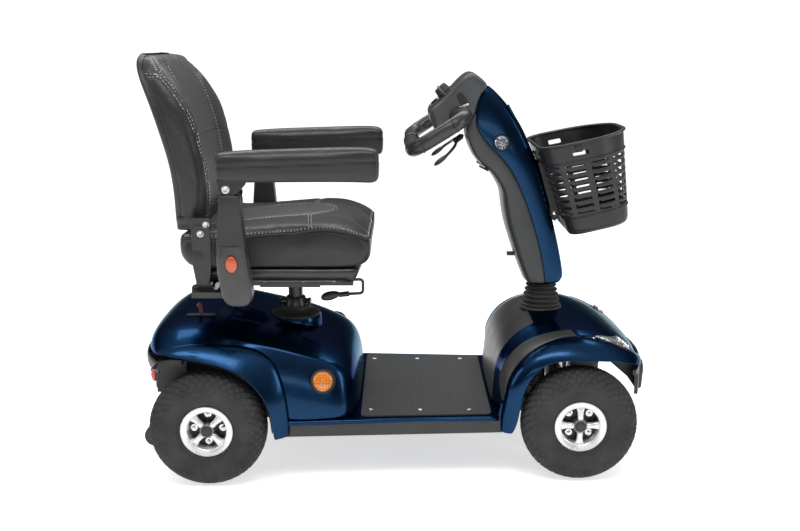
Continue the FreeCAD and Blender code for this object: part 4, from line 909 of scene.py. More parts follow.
def u_section(sx, sz, ex, ez, wide, narrow):
    """One half of a U across the tiller, from the split round to the middle of its far face."""
    reach = Vector((ex - sx, 0, ez - sz))
    base = Vector((sx, 0, sz))
    shape = [(0.0, wide), (0.22, wide + 1.5), (0.5, wide + 1.0), (0.74, wide - 2.5), (0.9, (wide + narrow) / 2 + 2),
             (1.0, narrow), (1.03, narrow * 0.5), (1.04, 0)]
    return [tuple(base + reach * t + Vector((0, y, 0))) for t, y in shape]


def u_shell(name, stations, material, crease_column=None, wall=3.0, levels=3):
    rows = []
    for station in stations:
        half = u_section(*station)
        rows.append(mirror_points(half)[:-1] + list(reversed(half)))
    piece = grid_piece(name, rows, material)
    columns = len(rows[0])
    if crease_column is not None:
        marked = (crease_column, columns - 1 - crease_column)
        crease_edges(piece, lambda a, b: a % columns == b % columns and a % columns in marked, 0.7)
    thicken(piece, wall)
    subdivide(piece, levels)
    return piece


def shrink_outline(outline, inset):
    """A closed outline drawn in towards its middle by roughly an inset."""
    cx = sum(a for a, b in outline) / len(outline)
    cz = sum(b for a, b in outline) / len(outline)
    out = []
    for a, b in outline:
        length = math.hypot(a - cx, b - cz)
        keep = max(0.0, length - inset) / length
        out.append((cx + (a - cx) * keep, cz + (b - cz) * keep))
    return out


CONSOLE_SIDE = [
    (178, 917), (163, 909), (149, 896), (133, 878), (106, 850), (83, 832), (79, 826), (83, 806), (91, 791), (104, 782),
    (119, 783), (136, 796), (152, 808), (168, 814), (184, 815), (189, 828), (193, 848), (201, 870), (218, 884),
    (206, 897), (192, 908),
]


def make_console():
    stations = [(-76, 17), (-75, 8), (-71, 2.5), (-62, 0), (-30, -1.0), (0, -1.5), (30, -1.0), (62, 0), (71, 2.5),
                (75, 8), (76, 17)]
    rows = [[(a, y, b) for a, b in shrink_outline(CONSOLE_SIDE, inset)] for y, inset in stations]
    body = grid_piece("console_body", rows, M["console"], closed_columns=True, caps=True)
    subdivide(body, 2)
    parts = [body]
    normal = Vector((-0.6794, 0, 0.7338))
    up = Vector((0.7338, 0, 0.6794))
    dash_centre = Vector((108, 0, 855))
    ring = []
    for a, b in ((-33, -46), (-35, 0), (-33, 46), (-28, 54), (0, 58), (22, 56), (33, 50), (36, 0), (33, -50),
                 (22, -56), (0, -58), (-28, -54)):
        ring.append(tuple(dash_centre + up * a + Vector((0, b, 0)) + normal * 0.9))
    seam = tube_piece("console_seam", ring, 0.9, M["dark"], closed=True, around=8)
    parts.append(seam)
    for side, label in SIDES:
        well = [(143, 866), (152, 872), (162, 862), (170, 850), (166, 842), (156, 842), (147, 852)]
        recess = slab("console_recess_" + label, smooth_outline(well, 4), 72 * side, 76.4 * side, "y", M["black"], 1)
        strip = [(148, 838), (163, 844), (172, 847), (171, 843), (164, 840), (150, 834)]
        trim = slab("console_trim_" + label, strip, 71 * side, 77.0 * side, "y", M["chrome"], 0.6)
        socket = [(0, 22), (7, 22), (9, 20.5), (9.5, 17.2), (2, 17.2)]
        collar = lathe_piece("console_socket_" + label, socket, (142, 66 * side, 815), (-0.15, side, 0.02), M["console"],
                             40, closed=True)
        parts += [recess, trim, collar]
    band = [(84, 826), (89, 830), (98, 790), (93, 785)]
    parts.append(slab("console_band", band, -77.0, 77.0, "y", M["dark"], 1.5))
    head = merge("console_head", parts)
    finish_piece(head, "tiller", ["tiller_head"])

    dial = []
    for along, radius in ((0, 17), (3, 18.2), (6, 17.4), (17, 15.6), (19.6, 14.2), (20.4, 11), (20.6, 0.05)):
        ring = []
        for turn in range(96):
            ripple = 1.0 if turn % 6 < 3 and 5 < along < 19.7 and radius > 12 else 0.0
            ring.append((along, radius - ripple, turn))
        dial.append(ring)
    u, v, n = facing_frame(normal)
    seat = Vector((120, 0, 865.1)) + normal * 0.6
    rows = [[tuple(seat + n * a + (u * math.cos(2 * math.pi * t / 96) + v * math.sin(2 * math.pi * t / 96)) * r)
             for a, r, t in ring] for ring in dial]
    knob = grid_piece("speed_dial", rows, M["dark"], closed_columns=True, caps=True)
    shade_sharp(knob, 50)
    pointer = slab("speed_dial_pointer", [(-1.2, 3), (1.2, 3), (1.2, 13), (-1.2, 13)], 0, 1.2, "z", M["silver_edge"], 0.3)
    pointer.data.transform(Matrix.Translation((seat + n * 20.2) * MM)
                           @ Matrix((u, v, n)).transposed().to_4x4())
    dial_piece = merge("speed_dial", [knob, pointer])
    finish_piece(dial_piece, "knob", ["speed_knob"])
    dress("horn_button", "dark")
    dress("ignition_key", "dull_steel")


def loop_point(along, y):
    angle = math.radians(32)
    return Vector((42 + along * math.cos(angle), y, 753 + along * math.sin(angle)))


def rounded_path(points, bend, steps=10):
    """Corner points joined by straight runs and arcs of one radius."""
    path = [points[0]]
    for before, corner, after in zip(points, points[1:], points[2:]):
        into, out = (corner - before).normalized(), (after - corner).normalized()
        turn = into.angle(out)
        setback = bend * math.tan(turn / 2)
        centre = corner + (out - into).normalized() * (bend / math.cos(turn / 2))
        start = corner - into * setback - centre
        axis = into.cross(out).normalized()
        for step in range(steps + 1):
            path.append(centre + Matrix.Rotation(turn * step / steps, 3, axis) @ start)
    path.append(points[-1])
    return path


def make_handlebar():
    right = [loop_point(116, -58), loop_point(136, -150), loop_point(128, -222), loop_point(0, -218)]
    points = right + [Vector((p.x, -p.y, p.z)) for p in reversed(right)]
    path = rounded_path(points, 46, 12)
    dense = []
    for a, b in zip(path, path[1:]):
        count = max(1, int((b - a).length / 8))
        dense += [a.lerp(b, step / count) for step in range(count)]
    dense.append(path[-1])
    bar = grid_piece("loop_tube", tube_rows(dense, 17.0, 28), M["grip"], closed_columns=True, caps=True)
    parts = [bar]
    rear = loop_point(0, 0)
    for offset in (-9, 9):
        ring = [(-5, 16.5), (-5, 18.6), (-3.5, 19.4), (3.5, 19.4), (5, 18.6), (5, 16.5)]
        parts.append(lathe_piece("loop_ring%d" % offset, ring, rear + Vector((0, offset, 0)), (0, 1, 0), M["black"], 40,
                                 closed=True))
    for side, label in SIDES:
        centre = loop_point(66, -221 * side)
        along = (loop_point(100, -221) - loop_point(0, -218)).normalized()
        for reach in (-46, 40):
            seam = [(-0.9, 16.8), (-0.9, 17.5), (0.9, 17.5), (0.9, 16.8)]
            parts.append(lathe_piece("grip_seam_%s%d" % (label, reach), seam, centre + along * reach, along, M["dark"], 40,
                                     closed=True))
    loop = merge("handlebar_loop", parts)
    finish_piece(loop, "tiller", ["handlebar"])


def ellipsoid_rows(centre, axis, length, thick, wide):
    """Rings of a drop-shaped paddle along an axis."""
    axis = Vector(axis).normalized()
    across = Vector((0, 1, 0))
    lift = axis.cross(across).normalized()
    rows = []
    for t, size in ((0.0, 0.3), (0.12, 0.62), (0.3, 0.9), (0.55, 1.0), (0.78, 0.86), (0.92, 0.55), (1.0, 0.12)):
        middle = Vector(centre) + axis * (length * t)
        rows.append([tuple(middle + across * (wide * size * math.cos(2 * math.pi * s / 16))
                           + lift * (thick * size * math.sin(2 * math.pi * s / 16))) for s in range(16)])
    return rows


def make_throttle():
    hub = Vector((164, 0, 768))
    inward = Vector((22, 0, 17)).normalized()
    parts = [lathe_piece("throttle_hub", [(-28, 5.5), (-26.5, 7), (-6, 7), (-4, 6), (-4, 4), (0, 4)], hub, inward,
                         M["black"], 32)]
    for side, label in SIDES:
        root = hub - inward * 18
        tip = Vector((116, 100 * side, 726))
        stem = [root, Vector((147, 24 * side, 757)), Vector((141, 62 * side, 748)), Vector((128, 88 * side, 736)), tip]
        parts.append(tube_piece("throttle_stem_" + label, stem, 3.3, M["black"], around=12))
        paddle = grid_piece("throttle_paddle_" + label,
                            ellipsoid_rows(tip + Vector((7, -3 * side, 5)), (-0.78, 0.1 * side, -0.6), 40, 6.0, 11),
                            M["black"], closed_columns=True, caps=True)
        subdivide(paddle, 1)
        parts.append(paddle)
    lever = merge("throttle_paddles", parts)
    finish_piece(lever, "throttle", ["throttle_lever"])


def make_indicator(side, label):
    """Round clear indicator in a raised cup with a bright rim."""
    centre = (249, 60.5 * side, 755)
    axis = (0, side, 0)
    cup = [(-6, 19), (1.6, 19.5), (3.0, 18.3), (2.2, 16.6), (-2, 15.6), (-6, 15.4)]
    parts = [lathe_piece("indicator_cup_" + label, cup, centre, axis, M["dark"], 48, closed=True)]
    rim = [(-2, 14.6), (3.8, 14.8), (4.6, 13.9), (3.8, 13.0), (-2, 13.0)]
    parts.append(lathe_piece("indicator_rim_" + label, rim, centre, axis, M["chrome"], 48, closed=True))
    parts.append(lathe_piece("indicator_mirror_" + label, [(0.4, 13), (-1.8, 6), (-2.4, 0.05)], centre, axis,
                             M["reflector"], 40))
    bulb = [(-2, 3.0), (2.0, 3.2), (3.6, 2.4), (4.3, 0.05)]
    parts.append(lathe_piece("indicator_bulb_" + label, bulb, centre, axis, M["amber"], 24))
    glass = [(3.0, 13.2), (4.8, 12.0), (6.2, 8.0), (6.9, 0.05)]
    parts.append(lathe_piece("indicator_glass_" + label, glass, centre, axis, M["clear"], 48))
    return parts


def make_tiller():
    front = u_shell("tiller_front_shell", TILLER_FRONT, M["blue"], crease_column=4)
    parts = [front]
    for side, label in SIDES:
        hood = [(0.0, 21.0), (3.4, 20.6), (5.0, 19.5), (3.6, 18.6), (0.0, 18.4)]
        parts.append(lathe_piece("indicator_hood_" + label, hood, (249, 58.8 * side, 755), (0, side, 0), M["blue"], 48,
                                 closed=True))
        door = [(262, 838), (281, 808), (283, 812), (266, 842)]
        parts.append(slab("tiller_line_" + label, door, 30 * side, 44 * side, "y", M["blue"], 1.0))
    cover = merge("tiller_front_skin", parts)
    finish_piece(cover, "tiller", ["tiller_front_cover"])
    lamps = make_indicator(1, "left") + make_indicator(-1, "right")
    finish_piece(merge("indicators", lamps), "tiller", ["tiller_lamps"])

    rear = u_shell("tiller_rear_shell", TILLER_REAR, M["grey"], crease_column=3)
    parts = [rear]
    for side, label in SIDES:
        edge = [(171, 50 * side, 800), (171, 49 * side, 780), (180, 49 * side, 752), (193, 48 * side, 726),
                (205, 46 * side, 708)]
        parts.append(tube_piece("tiller_edge_" + label, edge, 1.6, M["silver_edge"], around=10))
        slot = [(199, 697), (220, 686), (222, 690), (201, 701)]
        parts.append(slab("tiller_slot_" + label, slot, 36 * side, 49 * side, "y", M["black"], 1))
        spine = [(262, 27 * side, 640), (263, 27 * side, 600), (273, 27 * side, 553), (288, 27 * side, 508),
                 (303, 27 * side, 463), (318, 27 * side, 425)]
        parts.append(tube_piece("tiller_spine_" + label, spine, 4.2, M["grey"], around=12, squash=0.7))
    seam = [station[:2] for station in TILLER_FRONT[1:-1]]
    core = [(x - 7, z - 3) for x, z in seam] + [(x + 7, z + 3) for x, z in reversed(seam)]
    parts.append(slab("tiller_core", core, -50, 50, "y", M["dark"], 1))
    for step in range(9):
        z = 428 + step * 7
        x = 313.5 - (z - 428) * 0.335
        rib = [(x - 2.2, z), (x + 8, z + 2.5), (x + 8, z + 5.2), (x - 2.2, z + 3.0)]
        parts.append(slab("tiller_rib%d" % step, rib, -22, 22, "y", M["dark"], 0.8))
    finish_piece(merge("tiller_rear_skin", parts), "tiller", ["tiller_rear_cover"])
    dress("tiller_tube", "frame")
    dress("tilt_lever", "black")


def make_bellows():
    profile = []
    ribs = 5
    for rib in range(ribs):
        low = 350 + rib * 11.7
        size = 47.5 - rib * 2.6
        profile += [(low, size - 6.0), (low + 3.0, size - 4.6), (low + 5.4, size + 0.9), (low + 7.4, size + 0.9),
                    (low + 9.8, size - 5.0)]
    profile += [(409, 33), (409, 30), (380, 33), (350, 38)]
    base = [(z, r) for z, r in profile]
    gaiter = lathe_piece("gaiter_folds", base, (360, 0, 0), (0, 0, 1), M["rubber"], 72, closed=True)
    subdivide(gaiter, 1)
    foot = [(345, 50), (347.5, 52), (350.5, 51), (353, 47), (353, 40), (345, 40)]
    ring = lathe_piece("gaiter_foot", foot, (360, 0, 0), (0, 0, 1), M["rubber"], 72, closed=True)
    piece = merge("steering_gaiter", [gaiter, ring])
    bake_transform(piece)
    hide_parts("tiller_bellows")


make_console()
make_handlebar()
make_throttle()
make_tiller()
make_bellows()


# ---- Basket ------------------------------------------------------------------------------

BASKET_LEVELS = [
    # share of the height, rear point, front point, half width, corner radius
    (0.0, (410, 542), (547, 574), 114, 34),
    (0.04, (406, 552), (550, 585), 120, 40),
    (1.0, (331, 748), (533, 789), 150, 50),
]


def basket_ring(share, count):
    """Points round the basket at a share of its height, evenly spaced by length."""
    for (s0, r0, f0, h0, c0), (s1, r1, f1, h1, c1) in zip(BASKET_LEVELS, BASKET_LEVELS[1:]):
        if share <= s1:
            break
    t = (share - s0) / (s1 - s0)
    rear = Vector((r0[0], 0, r0[1])).lerp(Vector((r1[0], 0, r1[1])), t)
    front = Vector((f0[0], 0, f0[1])).lerp(Vector((f1[0], 0, f1[1])), t)
    half, corner = h0 + (h1 - h0) * t, c0 + (c1 - c0) * t
    along = (front - rear).normalized()
    length = (front - rear).length
    flat = []
    nose = corner * (1.5 + 0.8 * share)
    corners = [(corner, corner, 180, corner), (length - nose, nose, 270, nose),
               (length - nose, 2 * half - nose, 0, nose), (corner, 2 * half - corner, 90, corner)]
    for cx, cy, start, radius in corners:
        for step in range(13):
            angle = math.radians(start + 90 * step / 12)
            flat.append((cx + radius * math.cos(angle), cy + radius * math.sin(angle)))
    total = [0.0]
    closed = flat + flat[:1]
    for (a, b), (c, d) in zip(closed, closed[1:]):
        total.append(total[-1] + math.hypot(c - a, d - b))
    ring = []
    span = 0
    for index in range(count):
        target = total[-1] * index / count
        while total[span + 1] < target:
            span += 1
        part = (target - total[span]) / (total[span + 1] - total[span])
        a = closed[span][0] + (closed[span + 1][0] - closed[span][0]) * part
        b = closed[span][1] + (closed[span + 1][1] - closed[span][1]) * part
        ring.append(tuple(rear + along * a + Vector((0, b - half, 0))))
    return ring


def make_basket():
    count, levels = 168, 62
    rows = [basket_ring(0.04 + 0.96 * level / levels, count) for level in range(levels + 1)]
    faces = []
    for level in range(levels):
        share = (level + 0.5) / levels
        for step in range(count):
            column = step % 12
            wave = 0.8 * math.sin(math.pi * column / 11)
            band = (share - 0.19) * levels / 5.0 + wave * 0.25
            in_band = 0.19 < share < 0.76 and (band % 1.0) < 0.42
            in_column = 1 <= column <= 9
            if in_band and in_column:
                continue
            around = step / count
            grip = 0.855 < share < 0.91 and min(abs(around - 0.125), abs(around - 0.66)) < 0.018
            if grip:
                continue
            a, b = level * count + step, level * count + (step + 1) % count
            faces.append((a, b, b + count, a + count))
    verts = [point for row in rows for point in row]
    wall = mesh_piece("basket_wall", verts, faces, M["black"])
    thicken(wall, 2.4)
    subdivide(wall, 1)
    parts = [wall]
    floor_rows = [basket_ring(0.04, count), basket_ring(0.0, count)]
    low = basket_ring(0.0, count)
    middle = sum((Vector(p) for p in low), Vector()) / count
    for keep in (0.85, 0.45, 0.06):
        floor_rows.append([tuple(middle.lerp(Vector(p), keep)) for p in low])
    base = grid_piece("basket_base", floor_rows, M["black"], closed_columns=True)
    thicken(base, 2.4)
    subdivide(base, 1)
    parts.append(base)
    for name, share, radius, squash in (("rim", 0.995, 3.6, 1.5), ("belt", 0.80, 2.0, 1.4), ("waist", 0.19, 1.8, 1.4)):
        ring = [Vector(p) for p in basket_ring(share, 84)]
        rows = tube_rows(ring, radius, 12, closed=True, squash=squash)
        parts.append(grid_piece("basket_" + name, rows, M["black"], closed_rows=True, closed_columns=True))
    for around in (0.125, 0.66):
        hub = Vector(basket_ring(0.95, count)[int(around * count)])
        out = (hub - Vector((430, 0, hub.z))).normalized()
        boss = [(-2, 9), (2, 9), (3.6, 7.5), (3.8, 4), (4.6, 3.6), (4.8, 0.05)]
        parts.append(lathe_piece("basket_boss%d" % int(around * 100), boss, hub, (0, math.copysign(1, out.y), 0),
                                 M["black"], 28))
    basket = merge("slotted_basket", parts)
    finish_piece(basket, "tiller", ["basket"])
    parts = []
    for side, label in SIDES:
        wire = [(334, 30 * side, 726), (346, 30 * side, 712), (362, 30 * side, 668), (378, 30 * side, 624),
                (392, 30 * side, 588), (402, 30 * side, 560), (410, 30 * side, 552)]
        parts.append(tube_piece("hook_wire_" + label, wire, 3.2, M["dull_steel"], around=12))
        plate = [(366, 600), (388, 594), (394, 580), (384, 566), (372, 572)]
        parts.append(slab("hook_plate_" + label, plate, 24 * side, 36 * side, "y", M["black"], 1.5))
        parts.append(lathe_piece("hook_bolt_" + label, [(0, 5), (3, 5), (4, 3.5), (4.4, 0.05)], (381, 36 * side, 586),
                                 (0, side, 0), M["chrome"], 20))
    cross = [(384, -34, 604), (384, -15, 603), (384, 15, 603), (384, 34, 604)]
    parts.append(tube_piece("hook_cross", cross, 3.2, M["dull_steel"], around=12))
    finish_piece(merge("basket_hooks", parts), "tiller")
    dress("basket_bracket", "black")


make_basket()


# ---- Upholstery --------------------------------------------------------------------------

CLOTH_FRAMES = 20
CLOTH = {"quality": 4, "mass": 0.3, "tension_stiffness": 22, "compression_stiffness": 22, "shear_stiffness": 10,
         "bending_stiffness": 3, "use_pressure": True, "uniform_pressure_force": 4}


def remeshed(piece, voxel):
    add_modifier(piece, "REMESH", mode="VOXEL", voxel_size=voxel * MM, use_smooth_shade=True)
    return bake_modifiers(piece)


def inflate(piece, voxel, cap, hold):
    """Swells a stuffed piece with the cloth solver; hold gives how free each point is, from 0 to 1."""
    subdivide(piece, 2)
    bake_modifiers(piece)
    remeshed(piece, voxel)
    start = [v.co.copy() for v in piece.data.vertices]
    cloth = add_modifier(piece, "CLOTH")
    for key, value in CLOTH.items():
        setattr(cloth.settings, key, value)
    cloth.settings.effector_weights.gravity = 0
    cloth.collision_settings.use_collision = False
    cloth.point_cache.frame_start = 1
    cloth.point_cache.frame_end = CLOTH_FRAMES
    scene = bpy.context.scene
    for step in range(1, CLOTH_FRAMES + 1):
        scene.frame_set(step)
    bake_modifiers(piece)
    scene.frame_set(1)
    limit = cap * MM
    for vertex, before in zip(piece.data.vertices, start):
        move = vertex.co - before
        if move.length > limit:
            move = move.normalized() * limit
        vertex.co = before + move * hold(before / MM)
    return piece


def step_up(value, low, high):
    t = min(1.0, max(0.0, (value - low) / (high - low)))
    return t * t * (3 - 2 * t)


class Surface:
    """The finished skin of a padded piece, for laying seams, piping and stitches on."""

    def __init__(self, piece):
        work = bmesh.new()
        work.from_mesh(piece.data)
        self.tree = BVHTree.FromBMesh(work)
        work.free()

    def cast(self, point, direction):
        origin = mm(*point)
        hit, normal = self.tree.ray_cast(origin, Vector(direction).normalized())[:2]
        if hit is None:
            hit, normal = self.tree.find_nearest(origin)[:2]
        return hit / MM, normal

    def near(self, point):
        hit, normal = self.tree.find_nearest(mm(*point))[:2]
        return hit / MM, normal

    def path(self, points, direction=None, step=2.0):
        """Places and normals at even steps along a smooth line through some points."""
        dense = spline(points, 24)
        spots = [self.cast(p, direction) if direction else self.near(p) for p in dense]
        out = [spots[0]]
        carried = 0.0
        for (a, na), (b, nb) in zip(spots, spots[1:]):
            length = (b - a).length
            if length < 1e-6:
                continue
            reach = step - carried
            while reach <= length:
                t = reach / length
                out.append((a.lerp(b, t), na.lerp(nb, t).normalized()))
                reach += step
            carried = (carried + length) % step
        return out


def groove(piece, lines, depth, width):
    """Draws the skin in along sewn lines."""
    places = [place for line in lines for place, normal in line]
    tree = KDTree(len(places))
    for index, place in enumerate(places):
        tree.insert(place * MM, index)
    tree.balance()
    normals = [v.normal.copy() for v in piece.data.vertices]
    for vertex, normal in zip(piece.data.vertices, normals):
        share = tree.find(vertex.co)[2] / (width * MM)
        if share < 3:
            vertex.co -= normal * (depth * MM * math.exp(-share * share))
    return piece


def smooth_line(line, reach=3):
    out = []
    for index in range(len(line)):
        near = line[max(0, index - reach):index + reach + 1]
        out.append((sum((p for p, n in near), Vector()) / len(near),
                    sum((n for p, n in near), Vector()).normalized()))
    return out


def seam_tube(name, line, radius, lift, material):
    line = smooth_line(line)
    path = [p + n * lift for p, n in line[::2]]
    return grid_piece(name, tube_rows(path, radius, 8), material, closed_columns=True, caps=True)


def stitch_row(line, shift, lift=0.45, long=4.6, gap=2.4, radius=0.58):
    """Vertices and faces of a row of raised stitches beside a seam."""
    line = smooth_line(line)
    verts, faces = [], []
    count = len(line)
    pitch = long + gap
    index = 2
    while index < count - 3:
        place, normal = line[index]
        ahead = line[min(index + 2, count - 1)][0]
        along = (ahead - place).normalized()
        across = normal.cross(along).normalized()
        middle = place + across * shift + normal * lift
        first = len(verts)
        for t, size in ((-0.5, 0.35), (-0.36, 0.95), (0.0, 1.1), (0.36, 0.95), (0.5, 0.35)):
            ring = middle + along * (t * long)
            for turn in range(6):
                angle = 2 * math.pi * turn / 6
                verts.append(tuple(ring + across * (math.cos(angle) * radius * size)
                                   + normal * (math.sin(angle) * radius * size * 0.8)))
        for row in range(4):
            for turn in range(6):
                a = first + row * 6 + turn
                b = first + row * 6 + (turn + 1) % 6
                faces.append((a, b, b + 6, a + 6))
        faces.append(tuple(first + turn for turn in range(6)))
        faces.append(tuple(first + 24 + (5 - turn) for turn in range(6)))
        index += max(1, round(pitch / 2.0))
    return verts, faces


def stitches(name, rows):
    verts, faces = [], []
    for line, shift in rows:
        more, skin = stitch_row(line, shift)
        faces += [tuple(i + len(verts) for i in face) for face in skin]
        verts += more
    return mesh_piece(name, verts, faces, M["thread"])


def both_sides(surface, points, direction=None):
    """The same line laid on the left and on the right of a skin."""
    return [surface.path(points, direction), surface.path(mirror_points(points), direction)]


def settled(surface, lines):
    """Lines laid again on a skin whose shape has changed."""
    return [[surface.near(place) for place, normal in line] for line in lines]


def colour_panel(piece, second, wanted):
    piece.data.materials.append(second)
    for face in piece.data.polygons:
        face.use_smooth = True
        if wanted(face.center / MM, face.normal):
            face.material_index = 1


# ---- Seat cushion --------------------------------------------------------------------------

# Along the seat: place, half width, underside, piping height, crown height.
SEAT_STATIONS = [
    (-486, 196, 534, 560, 562), (-478, 226, 516, 564, 565), (-458, 238, 496, 564, 565), (-408, 239, 489, 562, 567),
    (-366, 226, 489, 561, 574), (-300, 220, 489, 565, 582), (-230, 222, 489, 572, 587), (-164, 222, 489, 577, 588),
    (-115, 221, 489, 574, 583), (-82, 218, 490, 565, 573), (-62, 211, 496, 556, 561), (-50, 202, 506, 549, 553),
    (-45, 192, 517, 541, 544),
]


def seat_section(x, half, low, piping, crown):
    height = piping - low
    side = [
        (0, low), (half * 0.5, low), (half - 34, low), (half - 14, low + 2.5), (half - 5, low + height * 0.17),
        (half - 0.5, low + height * 0.42), (half - 2, low + height * 0.72), (half - 6, piping - 2.5),
        (half - 10, piping + 1.5), (half - 22, piping + 4), (half - 55, piping + (crown - piping) * 0.42 + 3),
        (112, crown - 3.5), (90, crown - 4.0), (66, crown - 1.0), (30, crown), (0, crown),
    ]
    return closed_section([(x, y, z) for y, z in side])


def make_seat_cushion():
    rows = [seat_section(*station) for station in SEAT_STATIONS]
    cushion = grid_piece("seat_cushion_skin", rows, M["vinyl"], closed_columns=True, caps=True)
    inflate(cushion, 5.0, 7, lambda p: step_up(p.z, 491, 512))
    surface = Surface(cushion)
    rim = [(-478, 216, 568), (-458, 230, 568), (-408, 231, 566), (-366, 219, 565), (-300, 214, 570), (-230, 216, 577),
           (-164, 216, 582), (-115, 215, 579), (-82, 211, 570), (-64, 203, 562), (-52, 190, 556), (-46, 160, 552),
           (-43, 100, 551), (-42, 0, 551)]
    sides = both_sides(surface, rim)
    panel = [(-452, 92, 620), (-360, 92, 620), (-260, 90, 620), (-205, 84, 620), (-172, 66, 620), (-148, 34, 620),
             (-141, 0, 620)]
    tops = both_sides(surface, panel, (0, 0, -1))
    crosses = both_sides(surface, [(-196, 82, 620), (-194, 120, 620), (-190, 160, 620), (-186, 204, 620)],
                         (0, 0, -1))
    groove(cushion, sides, 1.6, 4.5)
    groove(cushion, tops + crosses, 2.6, 5.0)
    subdivide(cushion, 1)
    bake_modifiers(cushion)

    def in_panel(place, normal):
        if normal.z < 0.5 or abs(place.y) > 91:
            return False
        nose = -141 - 64 * (abs(place.y) / 91) ** 2.4
        return place.x < nose

    colour_panel(cushion, M["vinyl_panel"], in_panel)
    surface = Surface(cushion)
    sides, tops, crosses = [settled(surface, lines) for lines in (sides, tops, crosses)]
    trims = [seam_tube("seat_piping%d" % number, line, 2.1, 1.2, M["pad_vinyl"])
             for number, line in enumerate(sides)]
    trims += [seam_tube("seat_seam%d" % number, line, 0.7, -0.2, M["black"])
              for number, line in enumerate(tops + crosses)]
    rows = [(sides[0], -6.5), (sides[0], -10), (sides[1], 6.5), (sides[1], 10)]
    rows += [(line, shift) for line in tops for shift in (3.8, -3.8)]
    rows += [(line, shift) for line in crosses for shift in (3.2, -3.2)]
    finish_piece(cushion, "seat", ["seat_cushion"])
    finish_piece(merge("seat_seams", trims), "seat")
    finish_piece(stitches("seat_stitches", rows), "seat")


make_seat_cushion()


# ---- Backrest ------------------------------------------------------------------------------

# Up the backrest: height, rear face, wing front, middle front, half width.
BACK_LEVELS = [
    (577, -478, -430, -446, 190), (600, -477, -421, -443, 203), (643, -475, -415, -440, 213),
    (709, -479, -419, -443, 220), (760, -491, -428, -451, 222), (818, -508, -441, -464, 221),
    (862, -524, -459, -478, 213), (900, -541, -480, -492, 199), (928, -552, -501, -507, 181),
    (948, -557, -516, -519, 155), (959, -554, -528, -529, 122),
]


def back_section(z, rear, wing, middle, half):
    depth = wing - rear
    lift = min(1.0, depth / 46)
    side = [
        (middle, 0), (middle + 0.5, 55), (middle + 2, 98), (middle + (wing - middle) * 0.35, 122),
        (middle + (wing - middle) * 0.8, 142), (wing, half - 54), (wing - 1, half - 34),
        (wing - 8 * lift, half - 15), (wing - 20 * lift, half - 4), (wing - 32 * lift, half),
        (rear + 8 * lift, half - 2), (rear + 2, half - 9), (rear, half - 26), (rear, half * 0.5), (rear, 0),
    ]
    return closed_section([(x, y, z) for x, y in side])


def make_backrest():
    rows = [back_section(*level) for level in BACK_LEVELS]
    cushion = grid_piece("backrest_skin", rows, M["vinyl"], closed_columns=True, caps=True)

    def hold(p):
        rear = -478 - 0.32 * max(0.0, p.z - 700)
        return step_up(p.x, rear, rear + 22) * step_up(p.z, 577, 596)

    inflate(cushion, 5.0, 7, hold)
    surface = Surface(cushion)
    line = [(-380, 158, 583), (-380, 174, 640), (-380, 181, 709), (-380, 187, 765), (-380, 192, 818),
            (-380, 193, 862), (-400, 187, 900), (-430, 176, 926)]
    seams = both_sides(surface, line, (-1, 0, 0))
    tops = both_sides(surface, [(-506, 176, 926), (-516, 162, 943), (-526, 146, 955), (-538, 134, 960),
                                (-552, 128, 956)])
    wings = both_sides(surface, [(-498, 184, 914), (-510, 188, 915), (-522, 188, 914), (-536, 182, 912),
                                 (-546, 172, 911)])
    across = surface.path([(-380, -186, 770), (-380, -90, 774), (-380, 0, 775), (-380, 90, 774), (-380, 186, 770)],
                          (-1, 0, 0))
    channels = both_sides(surface, [(-380, 112, 583), (-380, 116, 700), (-380, 118, 820), (-400, 116, 900),
                                    (-430, 108, 940)], (-1, 0, 0))
    groove(cushion, seams + wings + tops, 2.6, 5.0)
    groove(cushion, [across] + channels, 1.2, 4.0)
    subdivide(cushion, 1)
    bake_modifiers(cushion)
    edges = [(point[2], point[1]) for point in line]

    def in_field(place, normal):
        for (low, a), (high, b) in zip(edges, edges[1:]):
            if place.z <= high:
                break
        reach = a + (b - a) * min(1.3, max(0.0, (place.z - low) / (high - low)))
        return abs(place.y) < reach and normal.x > 0.1

    colour_panel(cushion, M["vinyl_panel"], in_field)
    surface = Surface(cushion)
    seams, wings, tops, channels = [settled(surface, lines) for lines in (seams, wings, tops, channels)]
    trims = [seam_tube("back_seam%d" % number, line, 0.7, -0.2, M["black"])
             for number, line in enumerate(seams + wings + tops + settled(surface, [across]) + channels)]
    rows = [(line, shift) for line in seams + tops for shift in (4.6, -4.6, 7.6, -7.6)]
    rows += [(line, 0) for line in channels]
    rows += [(line, shift) for line in wings for shift in (3.4, -3.4)]
    edge = [(rear + 1, half - 12, z) for z, rear, *fronts, half in BACK_LEVELS[1:]]
    trims += [seam_tube("back_piping%d" % number, line, 2.0, 0.6, M["pad_vinyl"])
              for number, line in enumerate(both_sides(surface, edge))]
    finish_piece(cushion, "backrest", ["backrest_cushion"])
    finish_piece(merge("backrest_seams", trims), "backrest")
    finish_piece(stitches("backrest_stitches", rows), "backrest")
    lip_rows = []
    for z, out in ((574, -2), (574, 3.0), (579, 4.5), (584, 3.4), (590, 3.6), (597, 5.6), (602, 5.2), (604, 2.0),
                   (603, -2)):
        ring = back_section(z, -484, -424, -441, 196)
        middle = Vector((-452, 0, z))
        row = []
        for point in ring:
            direction = Vector(point) - middle
            flat = Vector((direction.x, direction.y * 0.25, 0)).normalized()
            row.append(tuple(Vector(point) + flat * out))
        lip_rows.append(row)
    lip = grid_piece("backrest_lip", lip_rows, M["dark"], closed_columns=True)
    subdivide(lip, 2)
    finish_piece(merge("backrest_lip", [lip]), "backrest")
    make_back_panel()


